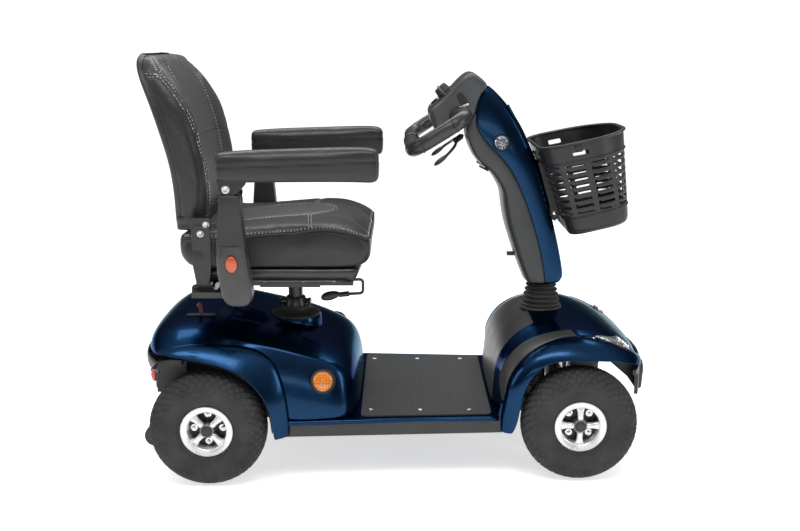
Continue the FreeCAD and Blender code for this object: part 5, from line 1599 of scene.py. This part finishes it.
def make_back_panel():
    """Moulded rear panel of the backrest with its raised field, and the hinge brackets."""
    rows = []
    for z, rear, *fronts, half in BACK_LEVELS:
        back = rear - 11
        half -= 9
        side = [(back + 16, half - 2), (back + 8, half), (back + 2.5, half - 4), (back, half - 14),
                (back - 0.5, half - 30), (back + 2.5, half - 38), (back + 3, half * 0.4), (back + 3, 0)]
        rows.append([(x, y, z) for x, y in side] + [(x, -y, z) for x, y in reversed(side[:-1])])
    panel = grid_piece("back_panel", rows, M["dark"])
    thicken(panel, 2.5)
    subdivide(panel, 2)
    parts = [panel]
    plate = [(-447, 604), (-405, 606), (-402, 590), (-408, 566), (-418, 558), (-431, 558), (-441, 567), (-446, 584)]
    for side, label in SIDES:
        parts.append(slab("hinge_plate_" + label, smooth_outline(plate, 3), 222.6 * side, 227.4 * side, "y",
                          M["frame"], 0.8))
        for x, y, z in ((-424, 232.2, 573), (-412, 227.4, 592)):
            bolt = [(0, 7.5), (1.4, 7.5), (1.6, 6.0), (5.0, 5.8), (5.8, 4.6), (5.2, 2.6), (5.0, 0.05)]
            parts.append(lathe_piece("hinge_bolt_%s%d" % (label, z), bolt, (x, y * side, z), (0, side, 0),
                                     M["steel"], 36))
    finish_piece(merge("backrest_panel", parts), "backrest", ["backrest_shell"])


make_backrest()


# ---- Armrests ------------------------------------------------------------------------------

PAD_Y = 264.5
# Along a pad: place, underside, top, half width.
PAD_STATIONS = [
    (-378, 700, 748, 20), (-375, 694, 753, 24.5), (-364, 692, 756, 26.5), (-290, 692, 759, 26.5),
    (-200, 693, 762, 26.5), (-110, 693, 764.5, 26.5), (-72, 692.5, 766, 26.5), (-48, 691, 765, 26),
    (-36, 693, 761, 24.5), (-30, 701, 752, 20),
]


def pad_section(x, low, top, half):
    round_off = 10
    side = [
        (0, low), (half - round_off, low), (half - 3, low + 3), (half, low + round_off), (half + 0.5, (low + top) / 2),
        (half, top - round_off - 3), (half - 3.5, top - 4), (half - round_off - 3, top), (0, top + 0.8),
    ]
    return closed_section([(x, y, z) for y, z in side])


def make_armrests():
    rows = [pad_section(*station) for station in PAD_STATIONS]
    pad = grid_piece("pad_base", rows, M["pad_vinyl"], closed_columns=True, caps=True)
    inflate(pad, 4.0, 1.4, lambda p: step_up(p.z, 697, 704))
    surface = Surface(pad)
    loop = [(-340, 32, 728), (-250, 32, 731), (-150, 32, 735), (-70, 32, 738), (-40, 27, 739), (-28, 12, 739),
            (-27, 0, 739)]
    back = [(-340, 32, 728), (-368, 28, 727), (-378, 12, 727), (-378, 0, 727)]
    lines = both_sides(surface, loop) + both_sides(surface, back)
    groove(pad, lines, 1.8, 1.9)
    subdivide(pad, 1)
    bake_modifiers(pad)
    surface = Surface(pad)
    trims = [seam_tube("pad_seam%d" % number, line, 0.8, -0.1, M["black"])
             for number, line in enumerate(settled(surface, lines))]
    seam = merge("pad_seam", trims)
    for side, label in SIDES:
        for base, name, replaces in ((pad, "armrest_pad_", ["armrest_" + label]), (seam, "armrest_seam_", [])):
            piece = base.copy()
            piece.data = base.data.copy()
            piece.name = name + label
            bpy.context.scene.collection.objects.link(piece)
            piece.data.transform(Matrix.Translation((0, PAD_Y * MM * side, 0)))
            finish_piece(piece, "armrest_" + label, replaces)
        parts = []
        cheek = [(-374, 699), (-313, 699), (-317, 686), (-331, 670), (-343, 664), (-360, 665), (-371, 677)]
        for y in (257.8, 285.6):
            parts.append(slab("arm_cheek_%s%d" % (label, y), cheek, y * side, (y + 3.4) * side, "y", M["black"], 1.0))
        deck = [(-374, 694), (-313, 694), (-313, 698.5), (-374, 698.5)]
        parts.append(slab("arm_deck_" + label, deck, 258 * side, 288.5 * side, "y", M["black"], 1.0))
        bolt = [(0, 8.5), (1.2, 8.5), (1.4, 6.6), (4.2, 6.4), (5.2, 5.0), (4.4, 3.2), (4.0, 0.05)]
        parts.append(lathe_piece("arm_bolt_" + label, bolt, (-355, 289 * side, 679), (0, side, 0), M["steel"], 36))
        tongue = [(-364, 672), (-346, 672), (-346, 697), (-364, 697)]
        parts.append(slab("arm_tongue_" + label, tongue, 269 * side, 278 * side, "y", M["dull_steel"], 1.0))
        finish_piece(merge("armrest_bracket_" + label, parts), "armrest_" + label)
    bpy.data.objects.remove(pad)
    bpy.data.objects.remove(seam)


def arm_section(z, rear, front, half, middle, corner):
    ring = []
    width = (front - rear) / 2
    centre = (front + rear) / 2
    for step in range(32):
        angle = 2 * math.pi * step / 32
        c, s = math.cos(angle), math.sin(angle)
        power = 2 / corner
        x = centre + width * math.copysign(abs(c) ** power, c)
        y = middle + half * math.copysign(abs(s) ** power, s)
        ring.append((x, y, z))
    return ring


def make_arm_posts():
    for side, label in SIDES:
        middle = 273.5 * side
        rows = [arm_section(*s[:4], middle, 7) for s in (
            (666, -364, -334, 13), (666, -370, -329, 18.5), (663, -372, -327, 20.3), (640, -373, -325, 20.3),
            (571, -379, -319, 20.3), (556, -380, -318, 20.3), (540, -380, -318, 20.3))]
        sleeve = grid_piece("arm_sleeve_" + label, rows, M["dark"], closed_columns=True, caps=True)
        ear_rows = [arm_section(z, rear, front, half, middle, 5) for z, rear, front, half in (
            (655, -369, -341, 11.8), (684, -369, -341, 11.8), (692, -365, -345, 11.8), (694, -360, -350, 8))]
        ears = grid_piece("arm_ears_" + label, ear_rows, M["black"], closed_columns=True, caps=True)
        cap_rows = [arm_section(*s[:4], middle, s[4]) for s in (
            (553, -368, -331, 19, 6), (556, -371, -328, 20.5, 6), (557, -374, -325, 22.5, 6),
            (552, -378, -321, 24, 6), (530, -381, -316, 24.6, 6), (500, -380, -311, 24.6, 6),
            (466, -375, -306, 24.6, 6), (446, -371, -306, 24.4, 6), (434, -366, -309, 23.4, 5.5),
            (427, -359, -315, 21, 5), (424, -352, -322, 17, 4.5))]
        cap = grid_piece("arm_cap_" + label, cap_rows, M["arm_cap"], closed_columns=True, caps=True)
        shade_sharp(cap, 50)
        scale = Matrix.Diagonal((0.68, 1, 1, 1))
        parts = []
        dome = [(-2, 18.5), (1.6, 18.5), (2.6, 17.4), (2.9, 16.2), (3.4, 8), (3.6, 0.05)]
        rim = [(-2, 19.6), (1.2, 19.8), (2.2, 19.2), (2.4, 18.4), (-2, 18.4)]
        for key, profile in (("orange", dome), ("black", rim)):
            lamp = lathe_piece("arm_lamp_%s_%s" % (key, label), profile, (0, 0, 0), (0, side, 0), M[key], 56,
                               closed=key == "black")
            lamp.data.transform(Matrix.Translation(mm(-347, 298 * side, 519)) @ scale)
            parts.append(lamp)
        finish_piece(merge("arm_sleeve_" + label, [sleeve, ears]), "arm_" + label)
        finish_piece(merge("arm_cap_" + label, [cap]), "arm_" + label)
        finish_piece(merge("arm_lamp_" + label, parts), "arm_" + label)
        dress("arm_post_" + label, "frame")


make_armrests()
make_arm_posts()


# ---- Lamps, levers and the parts left in view ------------------------------------------------

def make_side_reflectors():
    parts = []
    for side, label in SIDES:
        lean = math.radians(12)
        axis = (0, side * math.cos(lean), math.sin(lean))
        centre = (-160, 246.5 * side, 238)
        ring = [(-3, 28.6), (3.5, 28.6), (5.6, 27.4), (5.9, 25.0), (4.6, 22.8), (-3, 22.8)]
        parts.append(lathe_piece("reflector_ring_" + label, ring, centre, axis, M["black"], 72, closed=True))
        lens = [(-2, 22.7), (3.6, 22.7), (4.4, 22.2), (4.9, 21.5), (4.2, 20.4), (5.1, 19.2), (4.6, 18), (5.5, 14),
                (5.0, 12.6), (5.8, 9), (5.3, 7.4), (6.0, 3), (6.1, 0.05)]
        parts.append(lathe_piece("reflector_lens_" + label, lens, centre, axis, M["amber"], 72))
    finish_piece(merge("side_reflector_lenses", parts), "chassis", ["side_reflectors"])


def make_tail_lights():
    parts = []
    for side, label in SIDES:
        rows = []
        for x, inset in ((-549, 0), (-558, 0.3), (-562.5, 2.2), (-564.5, 6), (-565.2, 11)):
            half, low, high = 25 - inset, 213 + inset, 261 - inset
            outline = [(-half, low + 5), (-half + 2, low + 1.5), (-half + 5, low), (half - 5, low),
                       (half - 2, low + 1.5), (half, low + 5), (half - 1, high - 9), (half - 4, high - 3),
                       (half - 10, high), (-half + 10, high), (-half + 4, high - 3), (-half + 1, high - 9)]
            rows.append([(x, 158 * side + y, z) for y, z in outline])
        lens = grid_piece("tail_lens_" + label, rows, M["red"], closed_columns=True, caps=True)
        lens.data.materials.append(M["lamp"])
        for face in lens.data.polygons:
            if face.center.z / MM < 228 and face.center.x / MM < -556:
                face.material_index = 1
        subdivide(lens, 2)
        parts.append(lens)
        for z in (229, 240, 250):
            rib = [(-565.6, z - 0.8), (-562, z - 0.8), (-562, z + 0.8), (-565.6, z + 0.8)]
            parts.append(slab("tail_rib_%s%d" % (label, z), rib, 158 * side - 19, 158 * side + 19, "y", M["red"], 0.4))
        base = [(-552, 210), (-546, 210), (-546, 264), (-552, 264)]
        parts.append(slab("tail_base_" + label, base, 158 * side - 27, 158 * side + 27, "y", M["black"], 2))
    finish_piece(merge("tail_lamp_lenses", parts), "chassis", ["tail_lights"])


# The headlight's lower and upper edges, from its inner point round to the nose.
LAMP_LOW = [(460, 181, 321), (483, 177, 312), (501, 178, 303), (520, 176, 292), (534, 170, 285), (544, 154, 281),
            (548, 144, 281)]
LAMP_HIGH = [(463, 178, 325), (487, 163, 319), (510, 144, 311), (526, 118, 305), (535, 126, 299), (542, 138, 292),
             (549, 139, 284)]


def make_headlights():
    skin = Surface(bpy.data.objects["bonnet_skin"])
    outward = Vector((0.45, 0.62, 0.64))
    lows, highs = spline(LAMP_LOW, 4), spline(LAMP_HIGH, 4)
    lamp_parts, trim_parts = [], []
    for side, label in SIDES:
        facing = Vector((outward.x, outward.y * side, outward.z)).normalized()

        def lifted(place, out):
            start = Vector((place.x, place.y * side, place.z)) + facing * 60
            return skin.cast(start, -facing)[0] + facing * out

        for key, out, grow, target in (("clear", 4.2, 0.0, lamp_parts), ("reflector", 1.6, -0.02, lamp_parts),
                                       ("black", 1.2, 0.07, trim_parts)):
            rows = []
            for low, high in zip(lows, highs):
                rows.append([tuple(lifted(low.lerp(high, -grow + (1 + 2 * grow) * step / 8),
                                          out * math.sin(math.pi * (0.14 + 0.72 * step / 8)) ** 0.6))
                             for step in range(9)])
            patch = grid_piece("headlight_%s_%s" % (key, label), rows, M[key])
            thicken(patch, 1.2)
            subdivide(patch, 1)
            target.append(patch)
        for number, radius in ((12, 11.0), (18, 8.5)):
            spot = lows[number].lerp(highs[number], 0.5)
            centre = lifted(spot, 1.0)
            cup = [(0, radius), (2.6, radius), (1.6, radius * 0.86), (0.4, radius * 0.5), (0.9, radius * 0.3),
                   (2.2, 0.05)]
            lamp_parts.append(lathe_piece("headlight_cup_%s%d" % (label, number), cup, centre, facing, M["chrome"], 40))
    finish_piece(merge("headlight_lenses", lamp_parts), "chassis", ["headlights"])
    finish_piece(merge("headlight_frames", trim_parts), "chassis")


def make_slide_lever():
    x, y, z = -128, -138, 446
    path = rounded_path([Vector((x, y, z)), Vector((-72, y, 448)), Vector((-72, y, 415)), Vector((-112, y, 413))], 8, 8)
    wire = grid_piece("slide_wire", tube_rows(path, 3.5, 16), M["frame"], closed_columns=True, caps=True)
    sleeve = tube_piece("slide_sleeve", [(-104, y, 413.6), (-112, y, 413), (-128, y, 411)], 6.2, M["black"], around=20)
    rings = []
    for t, high, wide in ((-126, 4.5, 4.5), (-131, 7.5, 6.5), (-140, 10.5, 9.0), (-150, 11.5, 10.0), (-159, 10.5, 9.2),
                          (-166, 7.5, 7.0), (-170, 3.0, 3.0)):
        drop = 408.5 + (t + 150) * 0.19
        rings.append([(t, y + wide * math.cos(math.pi * s / 8), drop + high * math.sin(math.pi * s / 8))
                      for s in range(16)])
    paddle = grid_piece("slide_paddle", rings, M["black"], closed_columns=True, caps=True)
    subdivide(paddle, 2)
    hub = [(-7.5, 4), (-7.5, 6.4), (4.5, 6.4), (4.5, 3), (14, 3), (14, 0.05)]
    boss = lathe_piece("slide_hub", hub, (x, y, z), (0, 1, 0), M["frame"], 32)
    finish_piece(merge("slide_lever_wire", [wire, sleeve, paddle, boss]), "slide_release",
                 ["slide_lever"])


def make_bumpers():
    """Rolled dark lip around the rear edge of the cover."""
    lip = [(-520, 283), (-536, 262), (-552, 234), (-566, 196), (-575, 150), (-580, 80), (-582, 0)]
    full = [(x, -y) for x, y in lip[:-1]] + list(reversed(lip))
    rows = []
    for out, z in ((-12, 266), (-4, 266), (-1, 268), (0.4, 273), (1.0, 281), (0.4, 289), (-2, 293), (-6, 292)):
        row = []
        for x, y in full:
            direction = Vector((x + 400, y, 0)).normalized()
            row.append((x + direction.x * out, y + direction.y * out, z + 0.012 * (x + 582)))
        rows.append(row)
    band = grid_piece("rear_lip", rows, M["dark"])
    thicken(band, 2.0)
    subdivide(band, 2)
    finish_piece(merge("rear_bumper_lip", [band]), "chassis")


def make_post_details():
    collar = [(0, 28), (2, 29.5), (9, 29), (18, 25.5), (26, 24), (27, 23), (27, 20), (0, 20)]
    parts = [lathe_piece("post_collar", collar, (SEAT_X, 0, 346), (0, 0, 1), M["frame"], 64, closed=True)]
    for side, label in SIDES:
        bolt = [(-12, 6.5), (6, 6.5), (7, 8.2), (12, 8.2), (13, 7), (13, 0.05)]
        parts.append(lathe_piece("post_bolt_" + label, bolt, (SEAT_X + 25 * side, -8, 363),
                                 (side, -0.25, 0), M["frame"], 36))
    finish_piece(merge("post_clamp", parts), "chassis")
    boot = [(-33, 28), (-30, 46), (-27, 57), (-24, 60.5), (-19, 60.5), (-16.5, 58), (-14, 46), (-9, 38), (-4, 35),
            (2, 33), (2, 28)]
    ring = lathe_piece("post_boot", boot, (SEAT_X, 0, 352), (0, 0, 1), M["rubber"], 72, closed=True)
    subdivide(ring, 1)
    finish_piece(merge("post_boot_ring", [ring]), "chassis", ["seat_post_boot"])


def make_deck_details():
    parts = []
    head = [(-1, 6.2), (0.8, 6.2), (1.6, 5.2), (1.9, 3.4), (1.1, 3.0), (0.7, 0.05)]
    for x in (-55, 60, 175):
        for side, label in SIDES:
            parts.append(lathe_piece("mat_screw%d_%s" % (x, label), head, (x, 190 * side, 148.6), (0, 0, 1),
                                     M["steel"], 24))
    finish_piece(merge("mat_screw_heads", parts), "chassis", ["mat_screws"])
    edges = []
    for side, label in SIDES:
        line = [(x, y * side, 141) for x, y in ((-262, 256.5), (-216, 254.5), (-100, 245.5), (60, 235), (240, 226.5))]
        edges.append(tube_piece("deck_edge_" + label, line, 5.6, M["blue"], around=20))
        corner = [(-266, 112), (-208, 112), (-208, 137), (-266, 137)]
        edges.append(slab("deck_corner_" + label, corner, 240 * side, 255.5 * side, "y", M["dark"], 2))
        groove_line = [(-230, 258 * side, 139), (0, 242 * side, 139), (238, 229.5 * side, 139)]
        skirt = [(-262, 137), (-204, 137), (-204, 153), (-262, 154)]
        edges.append(slab("deck_skirt_" + label, skirt, 238 * side, 250 * side, "y", M["blue"], 2))
        toe = [(237, 139), (257, 139), (257, 177), (244, 177)]
        edges.append(slab("deck_toe_" + label, toe, 217 * side, 227 * side, "y", M["blue"], 2))
        edges.append(tube_piece("deck_line_" + label, groove_line, 1.6, M["black"], around=10))
    finish_piece(merge("deck_edges", edges), "chassis")


def make_liners_and_shade():
    """Black liners and walls inside the wheel arches, partly black plastic and partly painted shade; dark slabs of
    painted shade in the nose; and a black sheet painting the shade of the slot the freewheel lever works in.
    """
    parts = []
    # The liners and the walls below are black plastic, and their black also paints the shade inside the rear arches.
    rear = [(-548, 262), (-529, 293), (-496, 301), (-462, 299), (-430, 293), (-388, 283), (-350, 266), (-321, 247),
            (-299, 222), (-283, 190), (-275, 155), (-273, 116)]
    for side, label in SIDES:
        rows = [[(x, y * side, z) for y in (284, 240, 190, 130)] for x, z in rear]
        liner = grid_piece("arch_liner_" + label, rows, M["black"])
        thicken(liner, 1.6)
        subdivide(liner, 1)
        parts.append(liner)
        wall = [(-560, 262), (-560, 190), (-500, 176), (-330, 176), (-292, 190), (-300, 226), (-330, 262), (-400, 290),
                (-470, 300), (-540, 292)]
        parts.append(slab("arch_wall_" + label, wall, 150 * side, 153 * side, "y", M["black"], 1.0))
        # Dark slabs that close the see-through gap in the nose between the front wheels; their dark colour is painted
        # shade.
        nose = [(508, 246), (590, 246), (594, 226), (591, 176), (578, 172), (556, 204)]
        parts.append(slab("nose_gap_shade_" + label, nose, 62 * side, 118 * side, "y", M["dark"], 3))
    # A flat black sheet on the cover top, painted shade standing for the inside of the freewheel lever's slot.
    slot = smooth_outline([(-482, -127), (-452, -128), (-424, -127), (-420, -120), (-424, -113), (-452, -112),
                           (-482, -113), (-486, -120)], 4)
    parts.append(slab("lever_slot_shade", slot, 355.5, 360.2, "z", M["black"], 1.2))
    finish_piece(merge("arch_liners_and_shade", parts), "chassis")


def make_seat_base():
    """Pressed tray, slide rails, armrest tube and backrest brackets under the cushion."""
    rows = []
    for z, inset in ((489, 12), (486, 2), (478, 0), (466, 5), (458, 18), (455, 26)):
        outline = [(-436 + inset, -190), (-410, -208 + inset), (-250, -209 + inset), (-110, -208 + inset),
                   (-78 - inset, -180), (-76 - inset, 0), (-78 - inset, 180), (-110, 208 - inset),
                   (-250, 209 - inset), (-410, 208 - inset), (-436 + inset, 190), (-437 + inset, 0)]
        rows.append([(x, y, z) for x, y in smooth_outline(outline, 3)])
    parts = [grid_piece("seat_tray", rows, M["frame"], closed_columns=True, caps=True)]
    for side, label in SIDES:
        rail = [(-400, 453), (-400, 438), (-120, 438), (-112, 444), (-112, 453)]
        parts.append(slab("rail_upper_" + label, rail, 99 * side, 130 * side, "y", M["frame"], 1.4))
        lip = [(-396, 446), (-396, 441), (-124, 441), (-124, 446)]
        parts.append(slab("rail_lip_" + label, lip, 129 * side, 133 * side, "y", M["dull_steel"], 0.8))
        for x in (-380, -300, -210, -140):
            head = [(0, 6.5), (3, 6.5), (4, 5.2), (4.2, 0.05)]
            parts.append(lathe_piece("rail_bolt_%s%d" % (label, x), head, (x, 132.5 * side, 446), (0, side, 0),
                                     M["dull_steel"], 24))
        plate = [(-437, 456), (-409, 456), (-403, 500), (-402, 582), (-408, 590), (-438, 590), (-444, 582), (-444, 500)]
        parts.append(slab("bracket_" + label, plate, 228.2 * side, 231.8 * side, "y", M["frame"], 1.0))
        foot = [(-436, 205), (-436, 231), (-406, 231), (-406, 205)]
        parts.append(slab("bracket_foot_" + label, [(x, y * side) for x, y in foot], 452, 463, "z", M["frame"], 1.0))
        collar = [(-450, 428), (-400, 428), (-400, 453), (-450, 453)]
        parts.append(slab("tube_collar_" + label, collar, 206 * side, 228 * side, "y", M["black"], 2.5))
    tube = [(-447, 431), (-403, 431), (-403, 452), (-447, 452)]
    parts.append(slab("arm_tube", tube, -210, 210, "y", M["frame"], 2.0))
    front = [(-118, 440), (-96, 440), (-90, 447), (-90, 457), (-118, 457)]
    parts.append(slab("tray_front", front, -126, 126, "y", M["frame"], 1.5))
    finish_piece(merge("seat_base", parts), "seat", ["seat_pan"])


make_seat_base()
make_side_reflectors()
make_liners_and_shade()
make_tail_lights()
make_headlights()
make_slide_lever()
make_bumpers()
make_post_details()
make_deck_details()
for name, key in (
        ("rear_bumper", "dark"), ("front_bumper", "dark"), ("floor_pan", "blue"), ("floor_mat", "mat"),
        ("sill_trims", "dark"), ("seat_post", "frame"), ("swivel_plate", "frame"),
        ("swivel_lever", "black"), ("steering_stem", "frame"),
        ("knuckle_left", "dull_steel"), ("knuckle_right", "dull_steel"), ("tie_rod_left", "dull_steel"),
        ("tie_rod_right", "dull_steel"), ("transaxle", "dull_steel"), ("batteries", "battery"),
        ("controller", "battery"), ("chassis_frame", "frame"), ("freewheel_lever", "lever_red")):
    dress(name, key)


# ---- Studio --------------------------------------------------------------------------------

def make_sky():
    """White behind the scooter; for light and reflections, bright overhead and dark at the horizon."""
    world = bpy.data.worlds.new("studio_sky")
    world.use_nodes = True
    tree = world.node_tree
    place = tree.nodes.new("ShaderNodeTexCoord")
    split = tree.nodes.new("ShaderNodeSeparateXYZ")
    ramp = tree.nodes.new("ShaderNodeValToRGB")
    tree.links.new(place.outputs["Generated"], split.inputs["Vector"])
    tree.links.new(split.outputs["Z"], ramp.inputs["Fac"])
    seen = tree.nodes.new("ShaderNodeLightPath")
    mix = tree.nodes.new("ShaderNodeMix")
    mix.data_type = "RGBA"
    mix.inputs[7].default_value = (1.15, 1.15, 1.15, 1)
    tree.links.new(seen.outputs["Is Camera Ray"], mix.inputs[0])
    tree.links.new(ramp.outputs["Color"], mix.inputs[6])
    tree.links.new(mix.outputs[2], tree.nodes["Background"].inputs["Color"])
    fill_ramp(ramp, [(place, (level,) * 3) for place, level in ((0.0, 0.1), (0.18, 0.06), (0.5, 0.3), (0.8, 0.7))])
    tree.nodes["Background"].inputs["Strength"].default_value = 1.0
    bpy.context.scene.world = world


def make_stage():
    """A wide white floor under soft boxes."""
    rows = [[(x, y, 0) for x in (-9000, -3000, 0, 3000, 9000)] for y in (-6000, -2000, 0, 2000, 4000, 9000)]
    backdrop = grid_piece("studio_floor", rows, M["floor"])
    make_sky()
    lights = (
        ("key_light", (-0.2, -1.5, 3.1), (0.0, -0.1, 0.3), (2.6, 0.8), 46),
        ("back_light", (0.1, 1.9, 3.2), (0.0, 0.5, 0.3), (4.2, 1.0), 60),
        ("front_light", (2.7, -1.0, 1.3), (0.4, 0, 0.45), (0.6, 1.5), 15),
        ("rear_light", (-2.7, -0.9, 1.3), (-0.4, 0, 0.45), (0.6, 1.5), 11),
        ("fill_light", (0.0, -3.4, 0.9), (0, 0, 0.4), (2.6, 0.4), 9),
    )
    for name, place, target, size, power in lights:
        data = bpy.data.lights.new(name, "AREA")
        data.shape = "RECTANGLE"
        data.size, data.size_y = size
        data.energy = power
        light = bpy.data.objects.new(name, data)
        light.location = place
        light.rotation_euler = (Vector(target) - Vector(place)).to_track_quat("-Z", "Y").to_euler()
        bpy.context.scene.collection.objects.link(light)
    bpy.context.scene.view_settings.view_transform = "Standard"
    bpy.context.scene.view_settings.look = "None"


make_stage()
